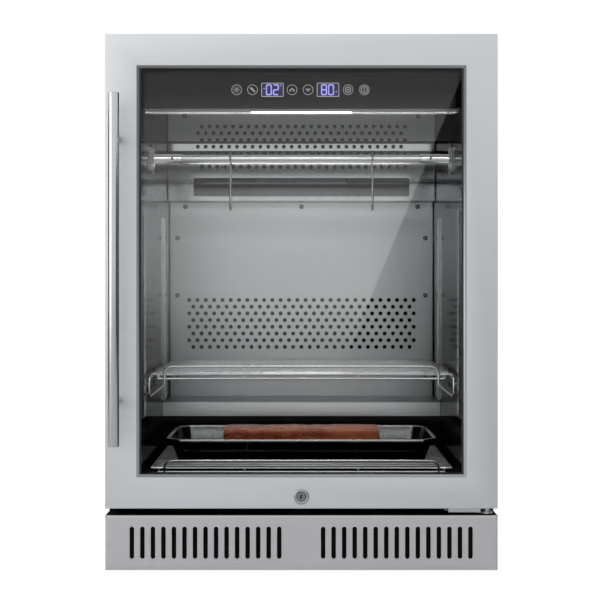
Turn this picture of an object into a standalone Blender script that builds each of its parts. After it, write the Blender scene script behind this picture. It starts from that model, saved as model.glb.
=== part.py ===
"""Dry aging cabinet with a framed glass door, in metres, +Z up, its front facing -Y.

The origin is on the floor under the middle of the cabinet. Depths are counted from the front
face of the door, towards the back.
"""

import math

import bmesh
import bpy
from mathutils import Matrix, Vector

# Overall size
WIDTH = 0.595
HEIGHT = 0.815
DEPTH = 0.573

# Fits that many pieces share
SEAT = 0.0003
RUNNING = 0.0008
WELD = 0.0003
OVERRUN = 0.004
SHEET = 0.001

# Heights of the plinth, the door and the carcass
PLINTH_CLEAR = 0.0025
PLINTH_TOP = 0.0855
DOOR_GAP = 0.0102
CARCASS_UNDER = 0.090
CHASSIS_UNDER = 0.014

# Door build
DOOR_THICK = 0.038
GASKET_THICK = 0.0067
HANDLE_RADIUS = 0.0085
HANDLE_STANDOFF = 0.045
HANDLE_RISE = 0.0993
HANDLE_HEAD = 0.095
HANDLE_INSET = 0.019

# Walls round the cavity, and the step over the machine bay
SIDE_WALL = 0.0475
ROOF = 0.055
BACK_WALL = 0.043
CAVITY_FLOOR = 0.125
STEP_DEEP = 0.153
STEP_HIGH = 0.096
STEP_FOAM = 0.030

# Derived frame
HALF = WIDTH / 2
CAVITY_HALF = HALF - SIDE_WALL
CAVITY_TOP = HEIGHT - ROOF
CAVITY_BACK = DEPTH - BACK_WALL
STEP_FRONT = CAVITY_BACK - STEP_DEEP
STEP_TOP = CAVITY_FLOOR + STEP_HIGH
HANDLE_REACH = HANDLE_STANDOFF + HANDLE_RADIUS
FRONT = (HANDLE_REACH - DEPTH) / 2
DOOR_BOTTOM = PLINTH_TOP + DOOR_GAP
HANDLE_BOTTOM = DOOR_BOTTOM + HANDLE_RISE
HANDLE_LENGTH = HEIGHT - HANDLE_HEAD - HANDLE_BOTTOM
CARCASS_FRONT = DOOR_THICK + GASKET_THICK + SEAT


def at(depth):
    """World Y of a depth counted from the front face of the door."""
    return FRONT + depth


# Looks


def look(name, colour, roughness, metallic=0.0, alpha=1.0):
    material = bpy.data.materials.new(name)
    material.use_nodes = True
    shader = material.node_tree.nodes["Principled BSDF"]
    shader.inputs["Base Color"].default_value = (*colour, 1.0)
    shader.inputs["Roughness"].default_value = roughness
    shader.inputs["Metallic"].default_value = metallic
    shader.inputs["Alpha"].default_value = alpha
    material.diffuse_color = (*colour, alpha)
    return material


def make_looks():
    return {
        "frame_steel": look("frame_steel", (0.56, 0.58, 0.60), 0.32, 1.0),
        "polished_steel": look("polished_steel", (0.62, 0.62, 0.63), 0.12, 1.0),
        "satin_steel": look("satin_steel", (0.50, 0.50, 0.51), 0.35, 1.0),
        "wire_steel": look("wire_steel", (0.70, 0.70, 0.71), 0.18, 1.0),
        "black_metal": look("black_metal", (0.02, 0.02, 0.021), 0.45, 0.0),
        "galvanised": look("galvanised", (0.45, 0.46, 0.47), 0.45, 1.0),
        "copper": look("copper", (0.72, 0.36, 0.22), 0.30, 1.0),
        "black_plastic": look("black_plastic", (0.015, 0.015, 0.016), 0.40),
        "gloss_black": look("gloss_black", (0.008, 0.008, 0.009), 0.08),
        "display": look("display", (0.02, 0.015, 0.09), 0.12),
        "lens": look("lens", (0.90, 0.90, 0.88), 0.25),
        "clear_glass": look("clear_glass", (0.85, 0.90, 0.90), 0.03, 0.0, 0.15),
        "foam": look("foam", (0.72, 0.66, 0.45), 0.85),
        "rubber": look("rubber", (0.02, 0.02, 0.02), 0.70),
        "salt": look("salt", (0.72, 0.32, 0.18), 0.45),
    }


# Modelling helpers


def clear_scene():
    for found in list(bpy.data.objects):
        bpy.data.objects.remove(found, do_unlink=True)


def to_object(name, bm):
    bmesh.ops.recalc_face_normals(bm, faces=bm.faces)
    mesh = bpy.data.meshes.new(name)
    bm.to_mesh(mesh)
    bm.free()
    made = bpy.data.objects.new(name, mesh)
    bpy.context.scene.collection.objects.link(made)
    return made


def node(name, bm, finish, smooth=False):
    made = to_object(name, bm)
    made.data.materials.append(LOOKS[finish])
    if smooth:
        made.data.shade_smooth()
        made.data.set_sharp_from_angle(angle=math.radians(40))
    return made


def boolean(target, bm, operation):
    helper = to_object(f"{target.name}.{operation.lower()}", bm)
    helper.hide_render = True
    helper.display_type = "WIRE"
    modifier = target.modifiers.new(helper.name, "BOOLEAN")
    modifier.operation = operation
    modifier.solver = "EXACT"
    modifier.use_self = True
    modifier.object = helper


def cut(target, bm):
    boolean(target, bm, "DIFFERENCE")


def fuse(target, bm):
    boolean(target, bm, "UNION")


def block(bm, x, y, z):
    """A box between two values along each axis."""
    corners = [bm.verts.new((i, j, k)) for k in z for j in y for i in x]
    for sides in ((0, 1, 3, 2), (4, 6, 7, 5), (0, 4, 5, 1), (2, 3, 7, 6), (0, 2, 6, 4), (1, 5, 7, 3)):
        bm.faces.new([corners[side] for side in sides])


def prism(bm, outline, axis, low, high):
    """A straight prism. The outline holds the other two coordinates, in X, Y, Z order."""
    place = {
        "X": lambda p, t: (t, p[0], p[1]),
        "Y": lambda p, t: (p[0], t, p[1]),
        "Z": lambda p, t: (p[0], p[1], t),
    }[axis]
    ends = [[bm.verts.new(place(point, t)) for point in outline] for t in (low, high)]
    bm.faces.new(ends[0])
    bm.faces.new(ends[1][::-1])
    for index in range(len(outline)):
        following = (index + 1) % len(outline)
        bm.faces.new((ends[0][index], ends[0][following], ends[1][following], ends[1][index]))


def round_outline(centre, radius, sides, turn=0.0):
    steps = [turn + 2 * math.pi * index / sides for index in range(sides)]
    return [(centre[0] + radius * math.cos(a), centre[1] + radius * math.sin(a)) for a in steps]


def rod(bm, start, axis, length, radius, sides, turn=0.0):
    """A bar of regular section that runs from its start along one axis."""
    across = [value for value, name in zip(start, "XYZ") if name != axis]
    along = start["XYZ".index(axis)]
    prism(bm, round_outline(across, radius, sides, turn), axis, along, along + length)


def corner_arc(centre, radius, first, last, steps):
    turns = [first + (last - first) * index / steps for index in range(steps + 1)]
    return [(centre[0] + radius * math.cos(a), centre[1] + radius * math.sin(a)) for a in turns]


def rounded_rectangle(low, high, radius, steps):
    """Corners (x, z) with rounded ends, anticlockwise from the lower right."""
    quarter = math.pi / 2
    corners = [
        ((high[0] - radius, low[1] + radius), -quarter),
        ((high[0] - radius, high[1] - radius), 0.0),
        ((low[0] + radius, high[1] - radius), quarter),
        ((low[0] + radius, low[1] + radius), 2 * quarter),
    ]
    outline = []
    for centre, first in corners:
        outline += corner_arc(centre, radius, first, first + quarter, steps)
    return outline


def frame_ring(bm, profile, half_width, low, high):
    """A mitred rectangular frame. Its profile holds (inset from the outer edge, depth) points."""
    corners = ((-1, 0), (1, 0), (1, 1), (-1, 1))
    loops = []
    for side, top in corners:
        loop = []
        for inset, depth in profile:
            height = high - inset if top else low + inset
            loop.append(bm.verts.new((side * (half_width - inset), at(depth), height)))
        loops.append(loop)
    for index, loop in enumerate(loops):
        following = loops[(index + 1) % len(loops)]
        for point in range(len(profile)):
            other = (point + 1) % len(profile)
            bm.faces.new((loop[point], loop[other], following[other], following[point]))


def turned(bm, profile, centre, axis, sides):
    """A closed turned solid. Its profile holds (radius, height) points, from axis to axis."""
    across = {"Z": (Vector((1, 0, 0)), Vector((0, 1, 0)), Vector((0, 0, 1))),
              "Y": (Vector((1, 0, 0)), Vector((0, 0, 1)), Vector((0, 1, 0))),
              "X": (Vector((0, 1, 0)), Vector((0, 0, 1)), Vector((1, 0, 0)))}[axis]
    centre = Vector(centre)
    rings = []
    for radius, height in profile:
        middle = centre + across[2] * height
        if radius == 0:
            rings.append([bm.verts.new(middle)])
            continue
        turns = [2 * math.pi * index / sides for index in range(sides)]
        rings.append([bm.verts.new(middle + radius * (across[0] * math.cos(a) + across[1] * math.sin(a)))
                      for a in turns])
    for lower, upper in zip(rings, rings[1:]):
        for index in range(sides):
            following = (index + 1) % sides
            corners = [lower[index % len(lower)], lower[following % len(lower)],
                       upper[following % len(upper)], upper[index % len(upper)]]
            bm.faces.new(list(dict.fromkeys(corners)))


def swept(bm, points, radius, sides, normal):
    """A round tube along a flat path of 3-D points. The normal stands square to the path."""
    points = [Vector(point) for point in points]
    normal = Vector(normal)
    rings = []
    for index, point in enumerate(points):
        before = points[max(index - 1, 0)]
        after = points[min(index + 1, len(points) - 1)]
        ahead = (after - before).normalized()
        width = radius
        if 0 < index < len(points) - 1:
            width = radius / math.cos((point - before).angle(after - point) / 2)
        side = normal.cross(ahead).normalized()
        turns = [math.pi / sides + 2 * math.pi * step / sides for step in range(sides)]
        rings.append([bm.verts.new(point + side * width * math.cos(a) + normal * radius * math.sin(a))
                      for a in turns])
    for ring, following in zip(rings, rings[1:]):
        for step in range(sides):
            other = (step + 1) % sides
            bm.faces.new((ring[step], ring[other], following[other], following[step]))
    bm.faces.new(rings[0][::-1])
    bm.faces.new(rings[-1])


# Carcass: casing, insulation, liner, front frame, chassis, plinth and machine cover

COVER_TOP = 0.188
MACHINE_FRONT = STEP_FRONT + SHEET + SEAT + STEP_FOAM
MACHINE_TOP = STEP_TOP - SHEET - SEAT - STEP_FOAM
FRAME_THICK = 0.003
LINER_FRONT = CARCASS_FRONT + FRAME_THICK + SEAT
CASING_INNER = HALF - SHEET
FOAM_HALF = CASING_INNER - SEAT
FOAM_TOP = HEIGHT - SHEET - SEAT
FOAM_BACK = DEPTH - SHEET - SEAT


def outer_casing():
    """One folded wrap of the sides and top, with the upper back sheet turned in."""
    bm = bmesh.new()
    block(bm, (-HALF, HALF), (at(CARCASS_FRONT), at(DEPTH)), (CHASSIS_UNDER, HEIGHT))
    made = node("outer_casing", bm, "black_metal")
    bm = bmesh.new()
    block(bm, (-CASING_INNER, CASING_INNER), (at(CARCASS_FRONT - OVERRUN), at(DEPTH - SHEET)),
          (CHASSIS_UNDER - OVERRUN, HEIGHT - SHEET))
    cut(made, bm)
    bm = bmesh.new()
    block(bm, (-CASING_INNER, CASING_INNER), (at(DEPTH - OVERRUN), at(DEPTH + OVERRUN)),
          (CHASSIS_UNDER - OVERRUN, COVER_TOP + SEAT))
    cut(made, bm)


def cavity_outline(grow, front):
    """Side view of the cavity (Y, Z), grown outwards by a wall."""
    return [
        (at(front), CAVITY_FLOOR - grow),
        (at(STEP_FRONT + grow), CAVITY_FLOOR - grow),
        (at(STEP_FRONT + grow), STEP_TOP - grow),
        (at(CAVITY_BACK + grow), STEP_TOP - grow),
        (at(CAVITY_BACK + grow), CAVITY_TOP + grow),
        (at(front), CAVITY_TOP + grow),
    ]


def insulation():
    """The foamed wall between casing and liner, hollow for the cavity and over the machine bay."""
    bm = bmesh.new()
    outline = [
        (at(LINER_FRONT), CARCASS_UNDER),
        (at(MACHINE_FRONT), CARCASS_UNDER),
        (at(MACHINE_FRONT), MACHINE_TOP),
        (at(FOAM_BACK), MACHINE_TOP),
        (at(FOAM_BACK), FOAM_TOP),
        (at(LINER_FRONT), FOAM_TOP),
    ]
    prism(bm, outline, "X", -FOAM_HALF, FOAM_HALF)
    made = node("insulation", bm, "foam")
    bm = bmesh.new()
    skin = SHEET + SEAT
    prism(bm, cavity_outline(skin, LINER_FRONT - OVERRUN), "X", -CAVITY_HALF - skin, CAVITY_HALF + skin)
    cut(made, bm)


def inner_liner():
    bm = bmesh.new()
    prism(bm, cavity_outline(SHEET, LINER_FRONT), "X", -CAVITY_HALF - SHEET, CAVITY_HALF + SHEET)
    made = node("inner_liner", bm, "polished_steel")
    bm = bmesh.new()
    prism(bm, cavity_outline(0, LINER_FRONT - OVERRUN), "X", -CAVITY_HALF, CAVITY_HALF)
    cut(made, bm)


def front_frame():
    """The black ring that the gasket closes on."""
    bm = bmesh.new()
    block(bm, (-FOAM_HALF, FOAM_HALF), (at(CARCASS_FRONT), at(CARCASS_FRONT + FRAME_THICK)),
          (CARCASS_UNDER, FOAM_TOP))
    made = node("front_frame", bm, "black_plastic")
    bm = bmesh.new()
    block(bm, (-CAVITY_HALF, CAVITY_HALF),
          (at(CARCASS_FRONT - OVERRUN), at(CARCASS_FRONT + FRAME_THICK + OVERRUN)),
          (CAVITY_FLOOR, CAVITY_TOP))
    cut(made, bm)


CHASSIS_SHEET = 0.002
CHASSIS_RIM = 0.024
FOOT_INSET = 0.042
FOOT_FRONT = 0.075
FOOT_REAR = 0.043
FOOT_DEPTHS = (FOOT_FRONT, DEPTH - FOOT_REAR)
FOOT_PAD_RADIUS = 0.018
FOOT_PAD_HIGH = 0.008
FOOT_STUD_RADIUS = 0.005
FOOT_STUD_TOP = 0.044
FOOT_BOSS_RADIUS = 0.010
FOOT_BOSS_TOP = 0.036
FOOT_SIDES = 10


def foot_places():
    for row, depth in zip(("front", "rear"), FOOT_DEPTHS):
        for side, x in (("left", FOOT_INSET - HALF), ("right", HALF - FOOT_INSET)):
            yield f"foot_{row}_{side}", x, at(depth)


def base_chassis():
    """A folded steel pan on threaded bosses, which carries the machine bay."""
    front = CARCASS_FRONT + SEAT
    back = DEPTH - SHEET - SEAT
    bm = bmesh.new()
    block(bm, (-FOAM_HALF, FOAM_HALF), (at(front), at(back)), (CHASSIS_UNDER, CHASSIS_UNDER + CHASSIS_RIM))
    made = node("base_chassis", bm, "galvanised")
    bm = bmesh.new()
    block(bm, (CHASSIS_SHEET - FOAM_HALF, FOAM_HALF - CHASSIS_SHEET),
          (at(front + CHASSIS_SHEET), at(back - CHASSIS_SHEET)),
          (CHASSIS_UNDER + CHASSIS_SHEET, CHASSIS_UNDER + CHASSIS_RIM + OVERRUN))
    cut(made, bm)
    bm = bmesh.new()
    for _, x, y in foot_places():
        low = CHASSIS_UNDER + WELD
        rod(bm, (x, y, low), "Z", FOOT_BOSS_TOP - low, FOOT_BOSS_RADIUS, FOOT_SIDES)
    fuse(made, bm)
    bm = bmesh.new()
    for _, x, y in foot_places():
        low = CHASSIS_UNDER - OVERRUN
        rod(bm, (x, y, low), "Z", FOOT_BOSS_TOP + OVERRUN - low, FOOT_STUD_RADIUS + SEAT, FOOT_SIDES)
    cut(made, bm)


def feet():
    for name, x, y in foot_places():
        bm = bmesh.new()
        profile = [
            (0, 0),
            (FOOT_PAD_RADIUS - SHEET, 0),
            (FOOT_PAD_RADIUS, SHEET),
            (FOOT_PAD_RADIUS, FOOT_PAD_HIGH - CHASSIS_SHEET),
            (FOOT_STUD_RADIUS * 2, FOOT_PAD_HIGH),
            (FOOT_STUD_RADIUS, FOOT_PAD_HIGH),
            (FOOT_STUD_RADIUS, FOOT_STUD_TOP),
            (0, FOOT_STUD_TOP),
        ]
        turned(bm, profile, (x, y, 0), "Z", FOOT_SIDES)
        node(name, bm, "rubber", smooth=True)


PLINTH_SHEET = 0.002
SLOT_COUNT = 15
SLOT_WIDE = 0.0063
SLOT_HIGH = 0.0488
SLOTS_INNER = 0.03285
SLOTS_INSET = 0.04135
SLOTS_OUTER = HALF - SLOTS_INSET
SLOT_PITCH = (SLOTS_OUTER - SLOTS_INNER) / (SLOT_COUNT - 1)
SLOT_GROUP_X = (SLOTS_OUTER + SLOTS_INNER) / 2
SLOT_ARC_STEPS = 2


def plinth_grille():
    """A folded front with two groups of round-ended air slots."""
    bm = bmesh.new()
    back = CARCASS_FRONT - SEAT
    block(bm, (-HALF, HALF), (at(0), at(back)), (PLINTH_CLEAR, PLINTH_TOP))
    made = node("plinth_grille", bm, "frame_steel")
    bm = bmesh.new()
    block(bm, (PLINTH_SHEET - HALF, HALF - PLINTH_SHEET), (at(PLINTH_SHEET), at(back + OVERRUN)),
          (PLINTH_CLEAR - OVERRUN, PLINTH_TOP - PLINTH_SHEET))
    cut(made, bm)
    bm = bmesh.new()
    middle = (PLINTH_CLEAR + PLINTH_TOP) / 2
    radius = SLOT_WIDE / 2
    straight = SLOT_HIGH / 2 - radius
    for group in (-SLOT_GROUP_X, SLOT_GROUP_X):
        for index in range(SLOT_COUNT):
            x = group + (index - (SLOT_COUNT - 1) / 2) * SLOT_PITCH
            outline = corner_arc((x, middle + straight), radius, 0, math.pi, SLOT_ARC_STEPS)
            outline += corner_arc((x, middle - straight), radius, math.pi, 2 * math.pi, SLOT_ARC_STEPS)
            prism(bm, outline, "Y", at(-OVERRUN), at(PLINTH_SHEET + OVERRUN))
    cut(made, bm)


INLET_WIDE = 0.028
INLET_HIGH = 0.020
INLET_INSET = 0.0725
INLET_X = INLET_INSET - HALF
INLET_Z = 0.060
INLET_DEEP = 0.026
INLET_WALL = 0.003
INLET_PIN_SHARE = 0.4
LOUVRE_COUNT = 14
LOUVRE_WIDE = 0.012
LOUVRE_HIGH = 0.090
LOUVRES_LEFT = 0.1525
LOUVRES_RIGHT = 0.0925
LOUVRE_Z = 0.100


def machine_cover():
    """The lower back sheet, slotted for the condenser's air."""
    bm = bmesh.new()
    low = CHASSIS_UNDER + CHASSIS_RIM + SEAT
    block(bm, (-FOAM_HALF, FOAM_HALF), (at(DEPTH - SHEET), at(DEPTH)), (low, COVER_TOP))
    made = node("machine_cover", bm, "black_metal")
    bm = bmesh.new()
    start = LOUVRES_LEFT - HALF
    pitch = (HALF - LOUVRES_RIGHT - LOUVRE_WIDE - start) / (LOUVRE_COUNT - 1)
    for index in range(LOUVRE_COUNT):
        x = start + index * pitch
        block(bm, (x, x + LOUVRE_WIDE),
              (at(DEPTH - SHEET - OVERRUN), at(DEPTH + OVERRUN)),
              (LOUVRE_Z - LOUVRE_HIGH / 2, LOUVRE_Z + LOUVRE_HIGH / 2))
    block(bm, (INLET_X - INLET_WIDE / 2 - SEAT, INLET_X + INLET_WIDE / 2 + SEAT),
          (at(DEPTH - SHEET - OVERRUN), at(DEPTH + OVERRUN)),
          (INLET_Z - INLET_HIGH / 2 - SEAT, INLET_Z + INLET_HIGH / 2 + SEAT))
    cut(made, bm)


def mains_inlet():
    """A recessed appliance inlet, its mouth flush with the machine cover."""
    bm = bmesh.new()
    block(bm, (INLET_X - INLET_WIDE / 2, INLET_X + INLET_WIDE / 2), (at(DEPTH - INLET_DEEP), at(DEPTH)),
          (INLET_Z - INLET_HIGH / 2, INLET_Z + INLET_HIGH / 2))
    made = node("mains_inlet", bm, "black_plastic")
    bm = bmesh.new()
    block(bm, (INLET_X - INLET_WIDE / 2 + INLET_WALL, INLET_X + INLET_WIDE / 2 - INLET_WALL),
          (at(DEPTH - INLET_DEEP + INLET_WALL), at(DEPTH + OVERRUN)),
          (INLET_Z - INLET_HIGH / 2 + INLET_WALL, INLET_Z + INLET_HIGH / 2 - INLET_WALL))
    cut(made, bm)
    bm = bmesh.new()
    pin = SHEET * 2
    for share in (-INLET_PIN_SHARE, 0, INLET_PIN_SHARE):
        x = INLET_X + share * INLET_WIDE / 2
        block(bm, (x - pin / 2, x + pin / 2), (at(DEPTH - INLET_DEEP + WELD), at(DEPTH - INLET_WALL * 3)),
              (INLET_Z - pin, INLET_Z + pin))
    fuse(made, bm)


# Hinges and lock keeper

PIVOT_INSET = 0.0139
PIVOT_X = HALF - PIVOT_INSET
PIVOT_DEPTH = 0.020
PIN_RADIUS = 0.004
PIN_REACH = 0.012
BUSH_RADIUS = 0.0065
BUSH_LENGTH = 0.014
HINGE_SHEET = 0.0025
HINGE_ARM_HALF = 0.009
HINGE_BACK = 0.085
COVER_WIDE = 0.049
COVER_INSET = 0.0106
COVER_X = (PIVOT_X - COVER_INSET - COVER_WIDE, PIVOT_X - COVER_INSET)
HINGE_INNER = COVER_X[0] - CHASSIS_SHEET
COVER_FRONT = 0.012
TOP_ARM_HALF = 0.008
NOTCH_HIGH = 0.0045
PIN_SIDES = 12


def hinge_arm_outline(half, inner, back):
    """Top view of a hinge plate: a rounded nose round the pin, straight sides to the carcass."""
    nose = corner_arc((PIVOT_X, at(PIVOT_DEPTH)), half, -math.pi, 0, 6)
    return nose + [(PIVOT_X + half, at(back)), (inner, at(back)), (inner, at(CARCASS_FRONT - half / 2))]


def lower_hinge():
    """A plate under the carcass with its pin, and the raised block that is screwed to the front frame."""
    low = PLINTH_TOP + SEAT
    bm = bmesh.new()
    prism(bm, hinge_arm_outline(HINGE_ARM_HALF, HINGE_INNER, HINGE_BACK), "Z", low, low + HINGE_SHEET)
    made = node("lower_hinge_bracket", bm, "frame_steel")
    bm = bmesh.new()
    top = DOOR_BOTTOM + PIN_REACH
    rod(bm, (PIVOT_X, at(PIVOT_DEPTH), low + WELD), "Z", top - low - WELD, PIN_RADIUS, PIN_SIDES)
    block(bm, COVER_X, (at(COVER_FRONT), at(CARCASS_FRONT - SEAT)),
          (low + HINGE_SHEET - WELD, DOOR_BOTTOM - RUNNING))
    fuse(made, bm)


def upper_hinge():
    """A cranked plate screwed to the front frame. Its arm lies in the notch of the door's top."""
    bm = bmesh.new()
    low = HEIGHT - HINGE_SHEET - SEAT
    outline = hinge_arm_outline(TOP_ARM_HALF, PIVOT_X - TOP_ARM_HALF, CARCASS_FRONT - SEAT)
    prism(bm, outline, "Z", low, low + HINGE_SHEET)
    made = node("upper_hinge_bracket", bm, "black_metal")
    bm = bmesh.new()
    tip = HEIGHT - NOTCH_HIGH - PIN_REACH
    rod(bm, (PIVOT_X, at(PIVOT_DEPTH), tip), "Z", low + WELD - tip, PIN_RADIUS, PIN_SIDES)
    fuse(made, bm)


KEEPER_HALF = 0.014
KEEPER_DEPTH = 0.016
KEEPER_SHEET = 0.002


def lock_keeper():
    """A steel angle on the plinth that the lock's cam turns down behind."""
    bm = bmesh.new()
    low = PLINTH_TOP + SEAT
    top = DOOR_BOTTOM - RUNNING
    outline = [
        (at(KEEPER_DEPTH), low),
        (at(CARCASS_FRONT - SEAT), low),
        (at(CARCASS_FRONT - SEAT), low + KEEPER_SHEET),
        (at(KEEPER_DEPTH + KEEPER_SHEET), low + KEEPER_SHEET),
        (at(KEEPER_DEPTH + KEEPER_SHEET), top),
        (at(KEEPER_DEPTH), top),
    ]
    prism(bm, outline, "X", -KEEPER_HALF, KEEPER_HALF)
    node("lock_keeper", bm, "black_metal")


# Door

RAIL_WIDE = 0.048
BEVEL = 0.0038
PANE_THICK = 0.004
PANE_INSET = 0.044
PANE_FRONT = 0.0050
CHAMBER = 0.0140
SPACER_INSET = 0.0455
SPACER_WIDE = 0.0055
LIP_INSET = 0.050
SKIN = 0.001
GASKET_BASE = (0.009, 0.027)
GASKET_BULB = (0.013, 0.025)
GASKET_BASE_HIGH = 0.0018
GASKET_CHAMFER = 0.0020


def door_outer_frame():
    """A folded stainless frame with a bevelled inner edge, notched for the upper hinge."""
    inner = RAIL_WIDE + BEVEL
    profile = [
        (0, DOOR_THICK),
        (0, 0),
        (RAIL_WIDE, 0),
        (inner, BEVEL),
        (inner - SKIN / 2, BEVEL + SKIN / 2),
        (RAIL_WIDE - SKIN / 2, SKIN),
        (SKIN, SKIN),
        (SKIN, DOOR_THICK),
    ]
    bm = bmesh.new()
    frame_ring(bm, profile, HALF, DOOR_BOTTOM, HEIGHT)
    made = node("door_outer_frame", bm, "frame_steel")
    bm = bmesh.new()
    block(bm, (NOTCH_X, HALF + OVERRUN), (at(NOTCH_DEPTH), at(DOOR_THICK + OVERRUN)),
          (HEIGHT - NOTCH_HIGH - SEAT, HEIGHT + OVERRUN))
    rod(bm, (PIVOT_X, at(PIVOT_DEPTH), DOOR_BOTTOM - OVERRUN), "Z", SKIN + OVERRUN * 2,
        BUSH_RADIUS + SEAT, PIN_SIDES)
    block(bm, (-LOCK_SLOT_HALF, LOCK_SLOT_HALF), (at(CAM_DEPTH - RUNNING), at(CAM_DEPTH + CAM_THICK + RUNNING)),
          (DOOR_BOTTOM - OVERRUN, DOOR_BOTTOM + SKIN + OVERRUN))
    rod(bm, (0, at(-OVERRUN), LOCK_Z), "Y", SKIN + OVERRUN * 2, LOCK_BODY_RADIUS + SEAT, LOCK_SIDES)
    for z in post_heights():
        rod(bm, (HANDLE_X, at(-OVERRUN), z), "Y", SKIN + OVERRUN * 2, POST_STUD_RADIUS + SEAT, LOCK_SIDES)
    cut(made, bm)


def door_inner_frame():
    """The plastic frame inside the steel one. It holds both panes and carries the gasket."""
    skin = SKIN + SEAT
    pane_back = PANE_FRONT + PANE_THICK * 2 + CHAMBER + SEAT * 2
    profile = [
        (skin, DOOR_THICK),
        (skin, skin),
        (PANE_INSET - SEAT, skin),
        (PANE_INSET - SEAT, pane_back),
        (LIP_INSET, pane_back),
        (LIP_INSET, DOOR_THICK),
    ]
    bm = bmesh.new()
    frame_ring(bm, profile, HALF, DOOR_BOTTOM, HEIGHT)
    made = node("door_inner_frame", bm, "black_plastic")
    bm = bmesh.new()
    bore = BUSH_RADIUS + SEAT
    block(bm, (NOTCH_X, HALF + OVERRUN), (at(NOTCH_DEPTH), at(DOOR_THICK + OVERRUN)),
          (HEIGHT - NOTCH_HIGH - SEAT, HEIGHT + OVERRUN))
    bush_well = BUSH_LENGTH + SEAT
    rod(bm, (PIVOT_X, at(PIVOT_DEPTH), HEIGHT - NOTCH_HIGH - SEAT - bush_well), "Z",
        bush_well + OVERRUN, bore, PIN_SIDES)
    rod(bm, (PIVOT_X, at(PIVOT_DEPTH), DOOR_BOTTOM - OVERRUN), "Z", bush_well + OVERRUN, bore, PIN_SIDES)
    cut(made, bm)
    bm = bmesh.new()
    block(bm, (-LOCK_SLOT_HALF, LOCK_SLOT_HALF), (at(CAM_DEPTH - RUNNING), at(CAM_DEPTH + CAM_THICK + RUNNING)),
          (DOOR_BOTTOM - OVERRUN, LOCK_Z + CAM_HALF + RUNNING))
    rod(bm, (0, at(-OVERRUN), LOCK_Z), "Y", CAM_DEPTH + OVERRUN, LOCK_BODY_RADIUS + SEAT, LOCK_SIDES)
    cut(made, bm)
    bm = bmesh.new()
    for z in post_heights():
        rod(bm, (HANDLE_X, at(-OVERRUN), z), "Y", POST_STUD_DEEP + SEAT + OVERRUN,
            POST_STUD_RADIUS + SEAT, LOCK_SIDES)
    cut(made, bm)


def pane(name, front):
    bm = bmesh.new()
    block(bm, (PANE_INSET - HALF, HALF - PANE_INSET), (at(front), at(front + PANE_THICK)),
          (DOOR_BOTTOM + PANE_INSET, HEIGHT - PANE_INSET))
    node(name, bm, "clear_glass")


def glazing():
    pane("outer_glass", PANE_FRONT)
    spacer_front = PANE_FRONT + PANE_THICK + SEAT
    inner_front = PANE_FRONT + PANE_THICK + CHAMBER
    bm = bmesh.new()
    profile = [
        (SPACER_INSET, spacer_front),
        (SPACER_INSET + SPACER_WIDE, spacer_front),
        (SPACER_INSET + SPACER_WIDE, inner_front - SEAT),
        (SPACER_INSET, inner_front - SEAT),
    ]
    frame_ring(bm, profile, HALF, DOOR_BOTTOM, HEIGHT)
    node("glass_spacer", bm, "black_plastic")
    pane("inner_glass", inner_front)


def door_gasket():
    """A soft bulb on a flat base, all the way round the back of the door."""
    foot = DOOR_THICK + SEAT
    crown = CARCASS_FRONT - SEAT
    profile = [
        (GASKET_BASE[0], foot),
        (GASKET_BASE[1], foot),
        (GASKET_BASE[1], foot + GASKET_BASE_HIGH),
        (GASKET_BULB[1], foot + GASKET_BASE_HIGH),
        (GASKET_BULB[1], crown - GASKET_CHAMFER),
        (GASKET_BULB[1] - GASKET_CHAMFER, crown),
        (GASKET_BULB[0] + GASKET_CHAMFER, crown),
        (GASKET_BULB[0], crown - GASKET_CHAMFER),
        (GASKET_BULB[0], foot + GASKET_BASE_HIGH),
        (GASKET_BASE[0], foot + GASKET_BASE_HIGH),
    ]
    bm = bmesh.new()
    frame_ring(bm, profile, HALF, DOOR_BOTTOM, HEIGHT)
    node("door_gasket", bm, "rubber")


def hinge_bushes():
    places = (("hinge_bush_lower", DOOR_BOTTOM), ("hinge_bush_upper", HEIGHT - NOTCH_HIGH - SEAT - BUSH_LENGTH))
    for name, low in places:
        bm = bmesh.new()
        rod(bm, (PIVOT_X, at(PIVOT_DEPTH), low), "Z", BUSH_LENGTH, BUSH_RADIUS, PIN_SIDES)
        made = node(name, bm, "black_plastic", smooth=True)
        bm = bmesh.new()
        rod(bm, (PIVOT_X, at(PIVOT_DEPTH), low - OVERRUN), "Z", BUSH_LENGTH + OVERRUN * 2,
            PIN_RADIUS + SEAT, PIN_SIDES)
        cut(made, bm)


DOOR_PIECES = (
    "door_outer_frame", "door_inner_frame", "outer_glass", "inner_glass", "glass_spacer", "door_gasket",
    "hinge_bush_lower", "hinge_bush_upper", "handle_bar", "handle_post_lower", "handle_post_upper",
    "lock_housing", "lock_cylinder",
)
HANDLE_X = HANDLE_INSET - HALF
HANDLE_SIDES = 16
POST_END = 0.065
POST_RADIUS = 0.006
POST_FLANGE_RADIUS = 0.0085
POST_FLANGE_HIGH = 0.003
POST_STUD_RADIUS = 0.003
POST_STUD_DEEP = 0.012
POST_SOCKET_DEEP = 0.006
POST_SIDES = 12


def post_heights():
    return (HANDLE_BOTTOM + POST_END, HANDLE_BOTTOM + HANDLE_LENGTH - POST_END)


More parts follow.
